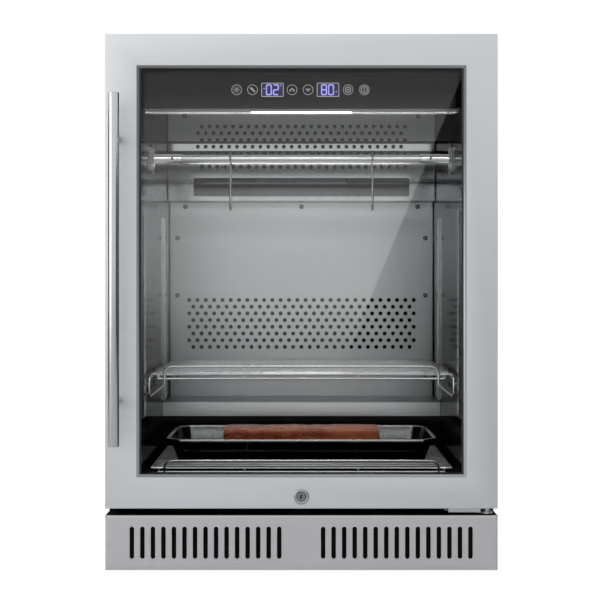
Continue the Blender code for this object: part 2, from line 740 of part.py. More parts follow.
def handle():
    """A round bar on two turned posts, each with a stud through the door frame."""
    bm = bmesh.new()
    middle = at(-HANDLE_STANDOFF)
    rod(bm, (HANDLE_X, middle, HANDLE_BOTTOM), "Z", HANDLE_LENGTH, HANDLE_RADIUS, HANDLE_SIDES)
    bar = node("handle_bar", bm, "frame_steel", smooth=True)
    bm = bmesh.new()
    socket = HANDLE_STANDOFF - HANDLE_RADIUS + POST_SOCKET_DEEP
    for z in post_heights():
        rod(bm, (HANDLE_X, at(-socket), z), "Y", socket, POST_RADIUS + SEAT, POST_SIDES)
    cut(bar, bm)
    for name, z in zip(("handle_post_lower", "handle_post_upper"), post_heights()):
        bm = bmesh.new()
        profile = [
            (0, SEAT - socket),
            (POST_RADIUS, SEAT - socket),
            (POST_RADIUS, -POST_FLANGE_HIGH * 2),
            (POST_FLANGE_RADIUS, -POST_FLANGE_HIGH),
            (POST_FLANGE_RADIUS, -SEAT),
            (POST_STUD_RADIUS, -SEAT),
            (POST_STUD_RADIUS, POST_STUD_DEEP),
            (0, POST_STUD_DEEP),
        ]
        turned(bm, profile, (HANDLE_X, at(0), z), "Y", POST_SIDES)
        node(name, bm, "frame_steel", smooth=True)


LOCK_RISE = 0.018
LOCK_Z = DOOR_BOTTOM + LOCK_RISE
LOCK_BODY_RADIUS = 0.0095
LOCK_RIM_RADIUS = 0.0117
LOCK_RIM_HIGH = 0.0022
LOCK_SIDES = 12
PLUG_RADIUS = 0.0065
PLUG_INSET = 0.0008
KEYWAY_WIDE = 0.0016
KEYWAY_HIGH = 0.0070
KEYWAY_DEEP = 0.008
CAM_DEPTH = 0.0215
CAM_THICK = 0.002
CAM_HALF = 0.006
CAM_REACH = 0.0240
LOCK_SLOT_HALF = 0.0275
NOTCH_X = PIVOT_X - TOP_ARM_HALF - RUNNING
NOTCH_DEPTH = 0.0042


def lock():
    """A cam lock: a flanged housing, and a plug with a keyway that carries the cam."""
    bm = bmesh.new()
    profile = [
        (0, -LOCK_RIM_HIGH),
        (LOCK_RIM_RADIUS - SHEET, -LOCK_RIM_HIGH),
        (LOCK_RIM_RADIUS, SHEET - LOCK_RIM_HIGH),
        (LOCK_RIM_RADIUS, -SEAT),
        (LOCK_BODY_RADIUS, -SEAT),
        (LOCK_BODY_RADIUS, CAM_DEPTH - RUNNING),
        (0, CAM_DEPTH - RUNNING),
    ]
    turned(bm, profile, (0, at(0), LOCK_Z), "Y", LOCK_SIDES)
    housing = node("lock_housing", bm, "polished_steel", smooth=True)
    bm = bmesh.new()
    rod(bm, (0, at(-LOCK_RIM_HIGH - OVERRUN), LOCK_Z), "Y", CAM_DEPTH + OVERRUN * 2 + LOCK_RIM_HIGH,
        PLUG_RADIUS + SEAT, LOCK_SIDES)
    cut(housing, bm)
    bm = bmesh.new()
    front = PLUG_INSET - LOCK_RIM_HIGH
    rod(bm, (0, at(front), LOCK_Z), "Y", CAM_DEPTH + WELD - front, PLUG_RADIUS, LOCK_SIDES)
    plug = node("lock_cylinder", bm, "polished_steel", smooth=True)
    bm = bmesh.new()
    outline = corner_arc((0, LOCK_Z), CAM_HALF, math.pi / 2, math.pi * 3 / 2, 6)
    outline = [(-x, z) for x, z in outline]
    outline += [(-CAM_REACH, LOCK_Z - CAM_HALF), (-CAM_REACH, LOCK_Z + CAM_HALF)]
    prism(bm, outline, "Y", at(CAM_DEPTH), at(CAM_DEPTH + CAM_THICK))
    fuse(plug, bm)
    bm = bmesh.new()
    block(bm, (-KEYWAY_WIDE / 2, KEYWAY_WIDE / 2), (at(front - OVERRUN), at(front + KEYWAY_DEEP)),
          (LOCK_Z - KEYWAY_HIGH / 2, LOCK_Z + KEYWAY_HIGH / 2))
    cut(plug, bm)


# Back panels and what blows the air

LOWER_PANEL_BACK = 0.025
UPPER_PANEL_BACK = 0.062
UPPER_PANEL_HIGH = 0.172
LOWER_PANEL = CAVITY_BACK - LOWER_PANEL_BACK
UPPER_PANEL = CAVITY_BACK - UPPER_PANEL_BACK
PANEL_SEAM = CAVITY_TOP - UPPER_PANEL_HIGH
PANEL_HALF = CAVITY_HALF - SEAT
HOLE_SIDES = 4
HOLE_RADIUS = 0.0039
HOLE_ROWS = 8
HOLE_COUNT = 28
HOLES_INSET = 0.0371
HOLES_RISE = 0.0939
ROW_STEP = 0.0127
SLOT_INSET = 0.0485
SLOT_RISE = 0.0098
SLOT_TALL = 0.0345
SLOT_HALF = CAVITY_HALF - SLOT_INSET
SLOT_LOW = PANEL_SEAM + SLOT_RISE
SLOT_TOP = SLOT_LOW + SLOT_TALL
SLOT_CORNER = 0.004


def hole_field(bm):
    """Rows of holes, every other one a hole short, so that they stagger."""
    pitch = (CAVITY_HALF - HOLES_INSET) * 2 / (HOLE_COUNT - 1)
    for row in range(HOLE_ROWS):
        z = STEP_TOP + HOLES_RISE + row * ROW_STEP
        count = HOLE_COUNT - 1 + row % 2
        for index in range(count):
            x = (index - (count - 1) / 2) * pitch
            outline = round_outline((x, z), HOLE_RADIUS, HOLE_SIDES)
            prism(bm, outline, "Y", at(LOWER_PANEL - OVERRUN), at(LOWER_PANEL + SHEET + OVERRUN))


def panel_outline(face):
    """Top view of a back panel with its two side flanges turned back to the liner."""
    back = at(CAVITY_BACK - SEAT)
    inner = PANEL_HALF - SHEET
    return [
        (-PANEL_HALF, at(face)), (PANEL_HALF, at(face)), (PANEL_HALF, back), (inner, back),
        (inner, at(face + SHEET)), (-inner, at(face + SHEET)), (-inner, back), (-PANEL_HALF, back),
    ]


def lower_back_panel():
    bm = bmesh.new()
    prism(bm, panel_outline(LOWER_PANEL), "Z", STEP_TOP + SEAT, PANEL_SEAM - SEAT)
    made = node("lower_back_panel", bm, "satin_steel")
    bm = bmesh.new()
    hole_field(bm)
    cut(made, bm)


def upper_back_panel():
    """The front of the evaporator housing, with its bottom flange turned back over the lower panel."""
    bm = bmesh.new()
    prism(bm, panel_outline(UPPER_PANEL), "Z", PANEL_SEAM, CAVITY_TOP - SEAT)
    made = node("upper_back_panel", bm, "satin_steel")
    bm = bmesh.new()
    block(bm, (-PANEL_HALF, PANEL_HALF), (at(UPPER_PANEL), at(LOWER_PANEL + SHEET)),
          (PANEL_SEAM, PANEL_SEAM + SHEET))
    fuse(made, bm)
    bm = bmesh.new()
    outline = rounded_rectangle((-SLOT_HALF, SLOT_LOW), (SLOT_HALF, SLOT_TOP), SLOT_CORNER, 2)
    prism(bm, outline, "Y", at(UPPER_PANEL - OVERRUN), at(UPPER_PANEL + SHEET + OVERRUN))
    cut(made, bm)


DEFLECTOR_GAP = 0.012
DEFLECTOR_RISE = 0.024
DEFLECTOR_LEAN = 0.016
RIB_INSET = 0.0965
RIB_DEEP = 0.006


def air_deflector():
    """A leaning plate behind the slot, on a foot flange, with two ribs."""
    bm = bmesh.new()
    low = PANEL_SEAM + SHEET + SEAT
    face = UPPER_PANEL + DEFLECTOR_GAP
    top = SLOT_LOW + DEFLECTOR_RISE
    half = PANEL_HALF - SHEET - SEAT
    outline = [
        (at(face), low),
        (at(face + DEFLECTOR_LEAN), low),
        (at(face + DEFLECTOR_LEAN), low + SHEET),
        (at(face + SHEET), low + SHEET),
        (at(face + SHEET), SLOT_LOW),
        (at(face + DEFLECTOR_LEAN), top),
        (at(face + DEFLECTOR_LEAN - SHEET), top + SHEET),
        (at(face), SLOT_LOW),
    ]
    prism(bm, outline, "X", -half, half)
    made = node("air_deflector", bm, "satin_steel")
    bm = bmesh.new()
    for x in (RIB_INSET - SLOT_HALF, SLOT_HALF - RIB_INSET):
        rib = [(at(face), low), (at(face - RIB_DEEP), low), (at(face - RIB_DEEP), SLOT_LOW),
               (at(face + DEFLECTOR_LEAN - SHEET), top), (at(face), SLOT_LOW)]
        prism(bm, [(y + WELD, z) for y, z in rib], "X", x - SHEET, x + SHEET)
    fuse(made, bm)


COIL_LEFT = 0.025
COIL_RIGHT = 0.205
COIL_UNDER = 0.022
COIL_HIGH = 0.082
COIL_THICK = 0.0457
COIL_X = (COIL_LEFT - CAVITY_HALF, CAVITY_HALF - COIL_RIGHT)
COIL_Z = (CAVITY_TOP - COIL_UNDER - COIL_HIGH, CAVITY_TOP - COIL_UNDER)
COIL_DEEP = (CAVITY_BACK - SEAT - COIL_THICK, CAVITY_BACK - SEAT)
COIL_FINS = 8
COIL_FIN_THICK = 0.002
COIL_TUBES = 3
COIL_TUBE_RADIUS = 0.004
TUBE_SIDES = 4


def finned_coil(name, x, depth, z, fins, finish):
    """Fins threaded on straight tubes. The two end fins are the coil's end plates."""
    bm = bmesh.new()
    for index in range(fins):
        left = x[0] + (x[1] - x[0] - COIL_FIN_THICK) * index / (fins - 1)
        block(bm, (left, left + COIL_FIN_THICK), (at(depth[0]), at(depth[1])), z)
    made = node(name, bm, finish)
    bm = bmesh.new()
    for index in range(COIL_TUBES):
        height = z[0] + (z[1] - z[0]) * (index + 1) / (COIL_TUBES + 1)
        middle = at((depth[0] + depth[1]) / 2)
        rod(bm, (x[0] - OVERRUN, middle, height), "X", x[1] - x[0] + OVERRUN * 2, COIL_TUBE_RADIUS, TUBE_SIDES)
    fuse(made, bm)


FAN_SIDES = 16
BLADES = 5
BLADE_THICK = 0.0016
BLADE_TWIST = 0.55
HUB_SHARE = 0.36


def fan_shroud(name, centre, depth, half, bore, finish):
    """A square plate with a round mouth and a cross bar at the back that carries the motor."""
    bm = bmesh.new()
    block(bm, (centre[0] - half, centre[0] + half), (at(depth[0]), at(depth[1])),
          (centre[1] - half, centre[1] + half))
    made = node(name, bm, finish)
    bm = bmesh.new()
    rod(bm, (centre[0], at(depth[0] - OVERRUN), centre[1]), "Y", depth[1] - depth[0] + OVERRUN * 2,
        bore, FAN_SIDES)
    cut(made, bm)
    bm = bmesh.new()
    bar = OVERRUN
    block(bm, (centre[0] - half + bar, centre[0] + half - bar), (at(depth[1] - bar), at(depth[1] - SHEET)),
          (centre[1] - bar, centre[1] + bar))
    motor_front = (depth[0] + depth[1]) / 2
    rod(bm, (centre[0], at(motor_front), centre[1]), "Y", depth[1] - SHEET * 2 - motor_front,
        bore * HUB_SHARE - SHEET, FAN_SIDES)
    fuse(made, bm)


def fan_rotor(name, centre, depth, bore):
    """A hub that turns on the motor, with twisted blades."""
    hub = bore * HUB_SHARE
    front = depth[0] + RUNNING
    back = (depth[0] + depth[1]) / 2 - SEAT
    bm = bmesh.new()
    rod(bm, (centre[0], at(front), centre[1]), "Y", back - front, hub, FAN_SIDES)
    made = node(name, bm, "black_plastic", smooth=True)
    bm = bmesh.new()
    middle = Vector((centre[0], at((front + back) / 2), centre[1]))
    reach = (back - front) / 2 - BLADE_THICK
    swing = bore * math.cos(math.pi / FAN_SIDES) - RUNNING
    tip = math.sqrt(swing ** 2 - reach ** 2)
    for blade in range(BLADES):
        spin = Matrix.Rotation(2 * math.pi * blade / BLADES, 4, "Y")
        rows = []
        for radius, lean in ((hub - BLADE_THICK, 1.0), (tip, BLADE_TWIST)):
            row = []
            for across, along in ((-1, -1), (1, 1), (1, 1), (-1, -1)):
                row.append((across * reach, along * reach * lean, radius))
            row = [Vector(point) for point in row]
            row[2].y += BLADE_THICK
            row[3].y += BLADE_THICK
            rows.append([bm.verts.new(middle + spin @ point) for point in row])
        inner, outer = rows
        bm.faces.new(inner)
        bm.faces.new(outer[::-1])
        for index in range(4):
            following = (index + 1) % 4
            bm.faces.new((inner[index], inner[following], outer[following], outer[index]))
    fuse(made, bm)


EVAPORATOR_HALF = 0.060
EVAPORATOR_BORE = 0.052
EVAPORATOR_INSET = 0.100
EVAPORATOR_UNDER = 0.072
EVAPORATOR_THICK = 0.0437
EVAPORATOR_FAN = {
    "centre": (CAVITY_HALF - EVAPORATOR_INSET, CAVITY_TOP - EVAPORATOR_UNDER),
    "depth": (CAVITY_BACK - SEAT - EVAPORATOR_THICK, CAVITY_BACK - SEAT),
    "half": EVAPORATOR_HALF,
    "bore": EVAPORATOR_BORE,
}
UV_RADIUS = 0.0075
UV_CAP_RADIUS = 0.0095
UV_GAP = 0.005
UV_HALF = CAVITY_HALF - EVAPORATOR_INSET - EVAPORATOR_HALF - UV_GAP
UV_CAP_LONG = 0.014
UV_RISE = 0.0115


def uv_lamp():
    """A sterilising tube with end caps, clipped behind the upper panel over the slot."""
    bm = bmesh.new()
    profile = [
        (0, -UV_HALF), (UV_CAP_RADIUS, -UV_HALF), (UV_CAP_RADIUS, UV_CAP_LONG - UV_HALF),
        (UV_RADIUS, UV_CAP_LONG - UV_HALF), (UV_RADIUS, UV_HALF - UV_CAP_LONG),
        (UV_CAP_RADIUS, UV_HALF - UV_CAP_LONG), (UV_CAP_RADIUS, UV_HALF), (0, UV_HALF),
    ]
    depth = UPPER_PANEL + SHEET + SEAT + UV_CAP_RADIUS
    turned(bm, profile, (0, at(depth), SLOT_TOP + UV_RISE), "X", POST_SIDES)
    node("uv_lamp", bm, "lens", smooth=True)


# Machine bay

BAY_FLOOR = CHASSIS_UNDER + CHASSIS_SHEET + SEAT
COMPRESSOR_INSET = 0.1325
COMPRESSOR_BACK = 0.086
COMPRESSOR_X = HALF - COMPRESSOR_INSET
COMPRESSOR_DEPTH = DEPTH - COMPRESSOR_BACK
COMPRESSOR_RADIUS = 0.062
COMPRESSOR_HIGH = 0.122
COMPRESSOR_PLATE = 0.004
COMPRESSOR_FOOT = 0.068
COMPRESSOR_SIDES = 16
DOME_STEPS = 4
CONDENSER_INSET = 0.1275
CONDENSER_GAP = 0.155
CONDENSER_BACK = 0.105
CONDENSER_THICK = 0.050
CONDENSER_HALF = 0.062
CONDENSER_BORE = 0.055
CONDENSER_FINS = 7
CONDENSER_X = (CONDENSER_INSET - HALF, COMPRESSOR_X - CONDENSER_GAP)
CONDENSER_DEEP = (DEPTH - CONDENSER_BACK - CONDENSER_THICK, DEPTH - CONDENSER_BACK)
COWL_GAP = 0.008
COWL_THICK = 0.030
CONDENSER_FAN = {
    "centre": (sum(CONDENSER_X) / 2, BAY_FLOOR + CONDENSER_HALF),
    "depth": (CONDENSER_DEEP[1] + COWL_GAP, CONDENSER_DEEP[1] + COWL_GAP + COWL_THICK),
    "half": CONDENSER_HALF,
    "bore": CONDENSER_BORE,
}
PAN_WALL = 0.002
PAN_HIGH = 0.030
PAN_HALF_X = 0.072
PAN_HALF_Y = 0.066


def compressor():
    """A hermetic can with a domed top on a foot plate."""
    centre = (COMPRESSOR_X, at(COMPRESSOR_DEPTH), BAY_FLOOR)
    dome = COMPRESSOR_RADIUS / 2
    straight = COMPRESSOR_HIGH - dome
    profile = [(0, WELD), (COMPRESSOR_RADIUS, WELD), (COMPRESSOR_RADIUS, straight)]
    for index in range(1, DOME_STEPS):
        angle = math.pi / 2 * index / DOME_STEPS
        profile.append((COMPRESSOR_RADIUS * math.cos(angle), straight + dome * math.sin(angle)))
    profile.append((0, profile[-1][1]))
    bm = bmesh.new()
    turned(bm, profile, centre, "Z", COMPRESSOR_SIDES)
    made = node("compressor", bm, "black_metal", smooth=True)
    bm = bmesh.new()
    block(bm, (centre[0] - COMPRESSOR_FOOT, centre[0] + COMPRESSOR_FOOT),
          (centre[1] - COMPRESSOR_FOOT, centre[1] + COMPRESSOR_FOOT),
          (BAY_FLOOR, BAY_FLOOR + COMPRESSOR_PLATE))
    fuse(made, bm)
    return BAY_FLOOR + profile[-1][1]


def drip_pan(low):
    """The evaporation pan on top of the compressor."""
    x, y = COMPRESSOR_X, at(COMPRESSOR_DEPTH)
    bm = bmesh.new()
    block(bm, (x - PAN_HALF_X, x + PAN_HALF_X), (y - PAN_HALF_Y, y + PAN_HALF_Y), (low, low + PAN_HIGH))
    made = node("drip_pan", bm, "black_plastic")
    bm = bmesh.new()
    block(bm, (x - PAN_HALF_X + PAN_WALL, x + PAN_HALF_X - PAN_WALL),
          (y - PAN_HALF_Y + PAN_WALL, y + PAN_HALF_Y - PAN_WALL), (low + PAN_WALL, low + PAN_HIGH + OVERRUN))
    cut(made, bm)


# Side racks

PILASTER_THICK = 0.003
PILASTER_WIDE = 0.026
PILASTER_FRONT = 0.071
PILASTER_BEHIND = 0.013
PILASTER_FRONTS = (PILASTER_FRONT, STEP_FRONT + PILASTER_BEHIND)
PILASTER_RISE = 0.004
PILASTER_UNDER = 0.035
PILASTER_LOW = STEP_TOP + PILASTER_RISE
PILASTER_TOP = PANEL_SEAM - PILASTER_UNDER
RACK_SLOTS = 13
RACK_END = 0.014
RACK_PITCH = (PILASTER_TOP - PILASTER_LOW - RACK_END * 2) / (RACK_SLOTS - 1)
RACK_SLOT_HIGH = 0.008
RACK_SLOT_WIDE = 0.005
RUNNER_RADIUS = 0.002
RUNNER_INSET = 0.0095
RUNNER_X = CAVITY_HALF - RUNNER_INSET
RUNNER_DROP = 0.034
RUNNER_BEND = 0.010
RUNNER_REACH = 0.081
WIRE_SIDES = 6


def pilasters():
    """Four slotted strips on the side walls that the shelf runners hook into."""
    for row, front in zip(("front", "rear"), PILASTER_FRONTS):
        for side, sign in (("left", -1), ("right", 1)):
            outer = sign * (CAVITY_HALF - SEAT)
            inner = sign * (CAVITY_HALF - SEAT - PILASTER_THICK)
            bm = bmesh.new()
            block(bm, sorted((outer, inner)), (at(front), at(front + PILASTER_WIDE)),
                  (PILASTER_LOW, PILASTER_TOP))
            made = node(f"pilaster_{row}_{side}", bm, "satin_steel")
            bm = bmesh.new()
            ends = sorted((outer + sign * OVERRUN, inner - sign * OVERRUN))
            middle = at(front + PILASTER_WIDE / 2)
            for index in range(RACK_SLOTS):
                z = (PILASTER_LOW + PILASTER_TOP) / 2 + (index - (RACK_SLOTS - 1) / 2) * RACK_PITCH
                block(bm, ends, (middle - RACK_SLOT_WIDE / 2, middle + RACK_SLOT_WIDE / 2),
                      (z - RACK_SLOT_HIGH / 2, z + RACK_SLOT_HIGH / 2))
            cut(made, bm)


def shelf_runners():
    """A bent wire each side. Its top run carries the shelf, its ends rest against the pilasters."""
    front = at(PILASTER_FRONTS[0] + PILASTER_WIDE / 2)
    rear = at(PILASTER_FRONTS[1] + PILASTER_WIDE / 2)
    brace = rear - RUNNER_REACH
    top = RUNNER_TOP
    low = top - RUNNER_DROP
    for side, sign in (("left", -1), ("right", 1)):
        bm = bmesh.new()
        x = sign * RUNNER_X
        profile = rounded_rectangle((front, low), (brace, top), RUNNER_BEND, 2)
        inner = rounded_rectangle((front + RUNNER_RADIUS * 2, low + RUNNER_RADIUS * 2),
                                  (brace - RUNNER_RADIUS * 2, top - RUNNER_RADIUS * 2),
                                  RUNNER_BEND - RUNNER_RADIUS * 2, 2)
        prism(bm, profile, "X", x - RUNNER_RADIUS, x + RUNNER_RADIUS)
        made = node(f"shelf_runner_{side}", bm, "wire_steel")
        bm = bmesh.new()
        prism(bm, inner, "X", x - OVERRUN, x + OVERRUN)
        cut(made, bm)
        bm = bmesh.new()
        block(bm, (x - RUNNER_RADIUS + WELD, x + RUNNER_RADIUS - WELD), (brace - RUNNER_BEND * 2, rear),
              (top - RUNNER_RADIUS * 2 + WELD, top - WELD))
        fuse(made, bm)
        bm = bmesh.new()
        wall = sign * (CAVITY_HALF - SEAT * 2 - PILASTER_THICK)
        for y, under in ((front + RUNNER_RADIUS, RUNNER_BEND), (rear - RUNNER_RADIUS, 0.0)):
            block(bm, sorted((x, wall)), (y - RUNNER_RADIUS + WELD, y + RUNNER_RADIUS - WELD),
                  (top - under - RUNNER_RADIUS * 2 + WELD * 2, top - under - WELD * 2))
        fuse(made, bm)


# Wire shelves

CROSS_SIDES = 4
WIRE_WELD = 0.0006
CROSS_RADIUS = 0.0018
LONG_RADIUS = 0.0024
FRAME_RADIUS = 0.0020
CROSS_FLAT = CROSS_RADIUS * math.cos(math.pi / CROSS_SIDES)
LONG_FLAT = LONG_RADIUS * math.cos(math.pi / CROSS_SIDES)
FRAME_FLAT = FRAME_RADIUS * math.cos(math.pi / WIRE_SIDES)
CROSS_INSET = 0.010
FRAME_INSET = 0.0226
GUARD_INSET = 0.0099
CROSS_HALF = CAVITY_HALF - CROSS_INSET
FRAME_HALF = CAVITY_HALF - FRAME_INSET
INNER_WIRE_X = 0.0905
GUARD_HALF = FRAME_HALF - GUARD_INSET
GUARD_RISE = 0.0133
GUARD_BEND = 0.012
SHELF_FRONT = 0.100
MIDDLE_SHELF_RISE = 0.1665
MIDDLE_SHELF_Z = CAVITY_FLOOR + MIDDLE_SHELF_RISE
MIDDLE_SHELF_WIRES = 17
MIDDLE_SHELF_GAP = 0.053
MIDDLE_SHELF_BACK = LOWER_PANEL - MIDDLE_SHELF_GAP
MIDDLE_GUARD_DROP = 0.0155
LOWER_SHELF_RISE = 0.0184
LOWER_SHELF_Z = CAVITY_FLOOR + LOWER_SHELF_RISE
LOWER_SHELF_WIRES = 13
LOWER_SHELF_GAP = 0.013
LOWER_SHELF_BACK = STEP_FRONT - LOWER_SHELF_GAP
RUNNER_TOP = MIDDLE_SHELF_Z - CROSS_FLAT - SEAT


def wire_shelf(name, height, back, wires, leg_low, rear_legs):
    """Cross wires on four long wires and two end rails, with a round-cornered guard in front."""
    long_z = height - CROSS_FLAT - LONG_FLAT + WELD
    rail_z = long_z - LONG_FLAT - FRAME_FLAT + WELD
    bm = bmesh.new()
    for index in range(wires):
        depth = SHELF_FRONT + (back - SHELF_FRONT) * index / (wires - 1)
        rod(bm, (-CROSS_HALF, at(depth), height), "X", CROSS_HALF * 2, CROSS_RADIUS, CROSS_SIDES,
            math.pi / CROSS_SIDES)
    made = node(name, bm, "wire_steel", smooth=True)
    bm = bmesh.new()
    end = FRAME_RADIUS
    for x in (-FRAME_HALF, -INNER_WIRE_X, INNER_WIRE_X, FRAME_HALF):
        rod(bm, (x, at(SHELF_FRONT - end), long_z), "Y", back - SHELF_FRONT + end * 2, LONG_RADIUS,
            CROSS_SIDES, math.pi / CROSS_SIDES)
    fuse(made, bm)
    bm = bmesh.new()
    for depth in (SHELF_FRONT, back):
        rod(bm, (-FRAME_HALF - end, at(depth), rail_z), "X", (FRAME_HALF + end) * 2, FRAME_RADIUS, WIRE_SIDES)
    fuse(made, bm)
    bm = bmesh.new()
    reach = FRAME_RADIUS * 2 - WIRE_WELD
    guards = [(SHELF_FRONT - reach, height + GUARD_RISE)]
    if rear_legs:
        guards.append((back + reach, rail_z + FRAME_RADIUS))
    for depth, top in guards:
        path = corner_arc((GUARD_HALF - GUARD_BEND, top - GUARD_BEND), GUARD_BEND, 0, math.pi / 2, 3)
        half = [(GUARD_HALF, leg_low)] + path
        outline = half + [(-x, z) for x, z in half[::-1]]
        swept(bm, [(x, at(depth), z) for x, z in outline], FRAME_RADIUS, WIRE_SIDES, (0, 1, 0))
    fuse(made, bm)
    return rail_z


TRAY_INSET = 0.028
TRAY_FRONT = 0.040
TRAY_BEHIND = 0.021
TRAY_HALF = CAVITY_HALF - TRAY_INSET
TRAY_DEPTHS = (SHELF_FRONT + TRAY_FRONT, STEP_FRONT - TRAY_BEHIND)
TRAY_HIGH = 0.0385
TRAY_SLOPE = 0.014
TRAY_RIM = 0.006
TRAY_WALL = 0.0012
TRAY_CORNER = 0.022
SALT_INSET = 0.090
SALT_FRONT_SHARE = 0.2315
SALT_BACK_SHARE = 0.6250
SALT_HALF = TRAY_HALF - SALT_INSET
TRAY_SPAN = TRAY_DEPTHS[1] - TRAY_DEPTHS[0]
SALT_DEPTHS = (TRAY_DEPTHS[0] + TRAY_SPAN * SALT_FRONT_SHARE, TRAY_DEPTHS[0] + TRAY_SPAN * SALT_BACK_SHARE)
SALT_HIGH = 0.0480
SALT_CHAMFER = 0.003
TRAY_LOW = LOWER_SHELF_Z + CROSS_FLAT + SEAT


def cut_corner_outline(half, low, high, corner):
    """Top view of a tray: a rectangle with its corners cut off."""
    return [
        (-half + corner, low), (half - corner, low), (half, low + corner), (half, high - corner),
        (half - corner, high), (-half + corner, high), (-half, high - corner), (-half, low + corner),
    ]


def loft(bm, levels):
    """A solid through a stack of outlines with the same count of points, each with its height."""
    rings = [[bm.verts.new((x, y, z)) for x, y in outline] for outline, z in levels]
    for lower, upper in zip(rings, rings[1:]):
        for index in range(len(lower)):
            following = (index + 1) % len(lower)
            bm.faces.new((lower[index], lower[following], upper[following], upper[index]))
    bm.faces.new(rings[0][::-1])
    bm.faces.new(rings[-1])


def tray_outline(shrink):
    low, high = at(TRAY_DEPTHS[0]), at(TRAY_DEPTHS[1])
    return cut_corner_outline(TRAY_HALF - shrink, low + shrink, high - shrink, TRAY_CORNER - shrink / 2)


def salt_tray():
    """A pressed tray with sloping walls, cut corners and a flat rim."""
    top = TRAY_LOW + TRAY_HIGH
    inner = TRAY_RIM + TRAY_SLOPE
    bm = bmesh.new()
    levels = [
        (tray_outline(inner), TRAY_LOW),
        (tray_outline(TRAY_RIM), top - TRAY_WALL),
        (tray_outline(0), top - TRAY_WALL),
        (tray_outline(0), top),
    ]
    loft(bm, levels)
    made = node("salt_tray", bm, "polished_steel")
    bm = bmesh.new()
    slope = TRAY_SLOPE / TRAY_HIGH
    levels = [
        (tray_outline(inner + TRAY_WALL), TRAY_LOW + TRAY_WALL),
        (tray_outline(TRAY_RIM + TRAY_WALL - slope * OVERRUN), top + OVERRUN),
    ]
    loft(bm, levels)
    cut(made, bm)


def salt_block():
    low = TRAY_LOW + TRAY_WALL + SEAT
    front, back = at(SALT_DEPTHS[0]), at(SALT_DEPTHS[1])
    bm = bmesh.new()
    bevel = SALT_CHAMFER
    levels = [
        (cut_corner_outline(SALT_HALF - bevel, front + bevel, back - bevel, bevel), low),
        (cut_corner_outline(SALT_HALF, front, back, bevel), low + bevel),
        (cut_corner_outline(SALT_HALF, front, back, bevel), low + SALT_HIGH - bevel),
        (cut_corner_outline(SALT_HALF - bevel, front + bevel, back - bevel, bevel), low + SALT_HIGH),
    ]
    loft(bm, levels)
    node("salt_block", bm, "salt")


# Hanging rod and hooks

ROD_UNDER = 0.1164
ROD_Z = CAVITY_TOP - ROD_UNDER
ROD_DEPTH = 0.2006
ROD_RADIUS = 0.0067
SLEEVE_RADIUS = 0.0079
SLEEVE_REACH = 0.053
SLEEVE_INNER = CAVITY_HALF - SLEEVE_REACH
FLANGE_HIGH = 0.052
FLANGE_WIDE = 0.022
FLANGE_THICK = 0.004
ROD_SIDES = 16
HOOK_X = 0.118
HOOK_WIRE = 0.0018
HOOK_LOOP = ROD_RADIUS + SEAT + HOOK_WIRE
HOOK_DROP = 0.0866
HOOK_BEND = 0.010
HOOK_ARC_STEPS = 7


def hanging_rod():
    bm = bmesh.new()
    half = CAVITY_HALF - SEAT * 2 - FLANGE_THICK
    rod(bm, (-half, at(ROD_DEPTH), ROD_Z), "X", half * 2, ROD_RADIUS, ROD_SIDES)
    node("hanging_rod", bm, "wire_steel", smooth=True)
    for side, sign in (("left", -1), ("right", 1)):
        bm = bmesh.new()
        outline = rounded_rectangle((at(ROD_DEPTH) - FLANGE_WIDE / 2, ROD_Z - FLANGE_HIGH / 2),
                                    (at(ROD_DEPTH) + FLANGE_WIDE / 2, ROD_Z + FLANGE_HIGH / 2),
                                    FLANGE_WIDE / 2 - SHEET, 3)
        wall = sign * (CAVITY_HALF - SEAT)
        face = wall - sign * FLANGE_THICK
        prism(bm, outline, "X", *sorted((wall, face)))
        made = node(f"rod_socket_{side}", bm, "polished_steel", smooth=True)
        bm = bmesh.new()
        start = min(sign * SLEEVE_INNER, face + sign * WELD)
        rod(bm, (start, at(ROD_DEPTH), ROD_Z), "X", abs(face + sign * WELD) - SLEEVE_INNER,
            SLEEVE_RADIUS, ROD_SIDES)
        fuse(made, bm)
        bm = bmesh.new()
        start = min(sign * (SLEEVE_INNER - OVERRUN), face)
        rod(bm, (start, at(ROD_DEPTH), ROD_Z), "X", abs(face) - SLEEVE_INNER + OVERRUN,
            ROD_RADIUS + SEAT, ROD_SIDES)
        cut(made, bm)


def hook_path():
    """(y, z) points of an S hook about the rod's axis: a loop over the rod, a shank, a bend."""
    drop = HOOK_DROP - HOOK_BEND - HOOK_WIRE
    lean = math.asin((HOOK_LOOP + HOOK_BEND) / drop)
    upper = corner_arc((0, 0), HOOK_LOOP, math.radians(205), -lean, HOOK_ARC_STEPS)
    lower = corner_arc((0, -drop), HOOK_BEND, math.pi - lean, math.radians(350), HOOK_ARC_STEPS)
    return upper + lower


def hooks():
    for side, x in (("left", -HOOK_X), ("right", HOOK_X)):
        bm = bmesh.new()
        points = [(x, at(ROD_DEPTH) + y, ROD_Z + z) for y, z in hook_path()]
        swept(bm, points, HOOK_WIRE, WIRE_SIDES, (1, 0, 0))
        node(f"hook_{side}", bm, "wire_steel", smooth=True)


# Control housing under the ceiling

FASCIA_HIGH = 0.0525
FASCIA_LOW = CAVITY_TOP - FASCIA_HIGH
FASCIA_THICK = 0.0030
HOUSING_INSET = 0.0063
HOUSING_HALF = CAVITY_HALF - HOUSING_INSET
HOUSING_BACK = 0.106
LED_HALF = 0.079
LED_DEPTHS = (0.058, 0.0985)
LED_THICK = 0.0025
DISPLAY_UNDER = 0.0236
DISPLAY_Z = CAVITY_TOP - DISPLAY_UNDER
DISPLAY_HIGH = 0.0215
DISPLAY_WIDE = 0.0345
DISPLAY_XS = {"temperature_display": -0.0449, "humidity_display": 0.0411}
DISPLAY_DEEP = 0.0015


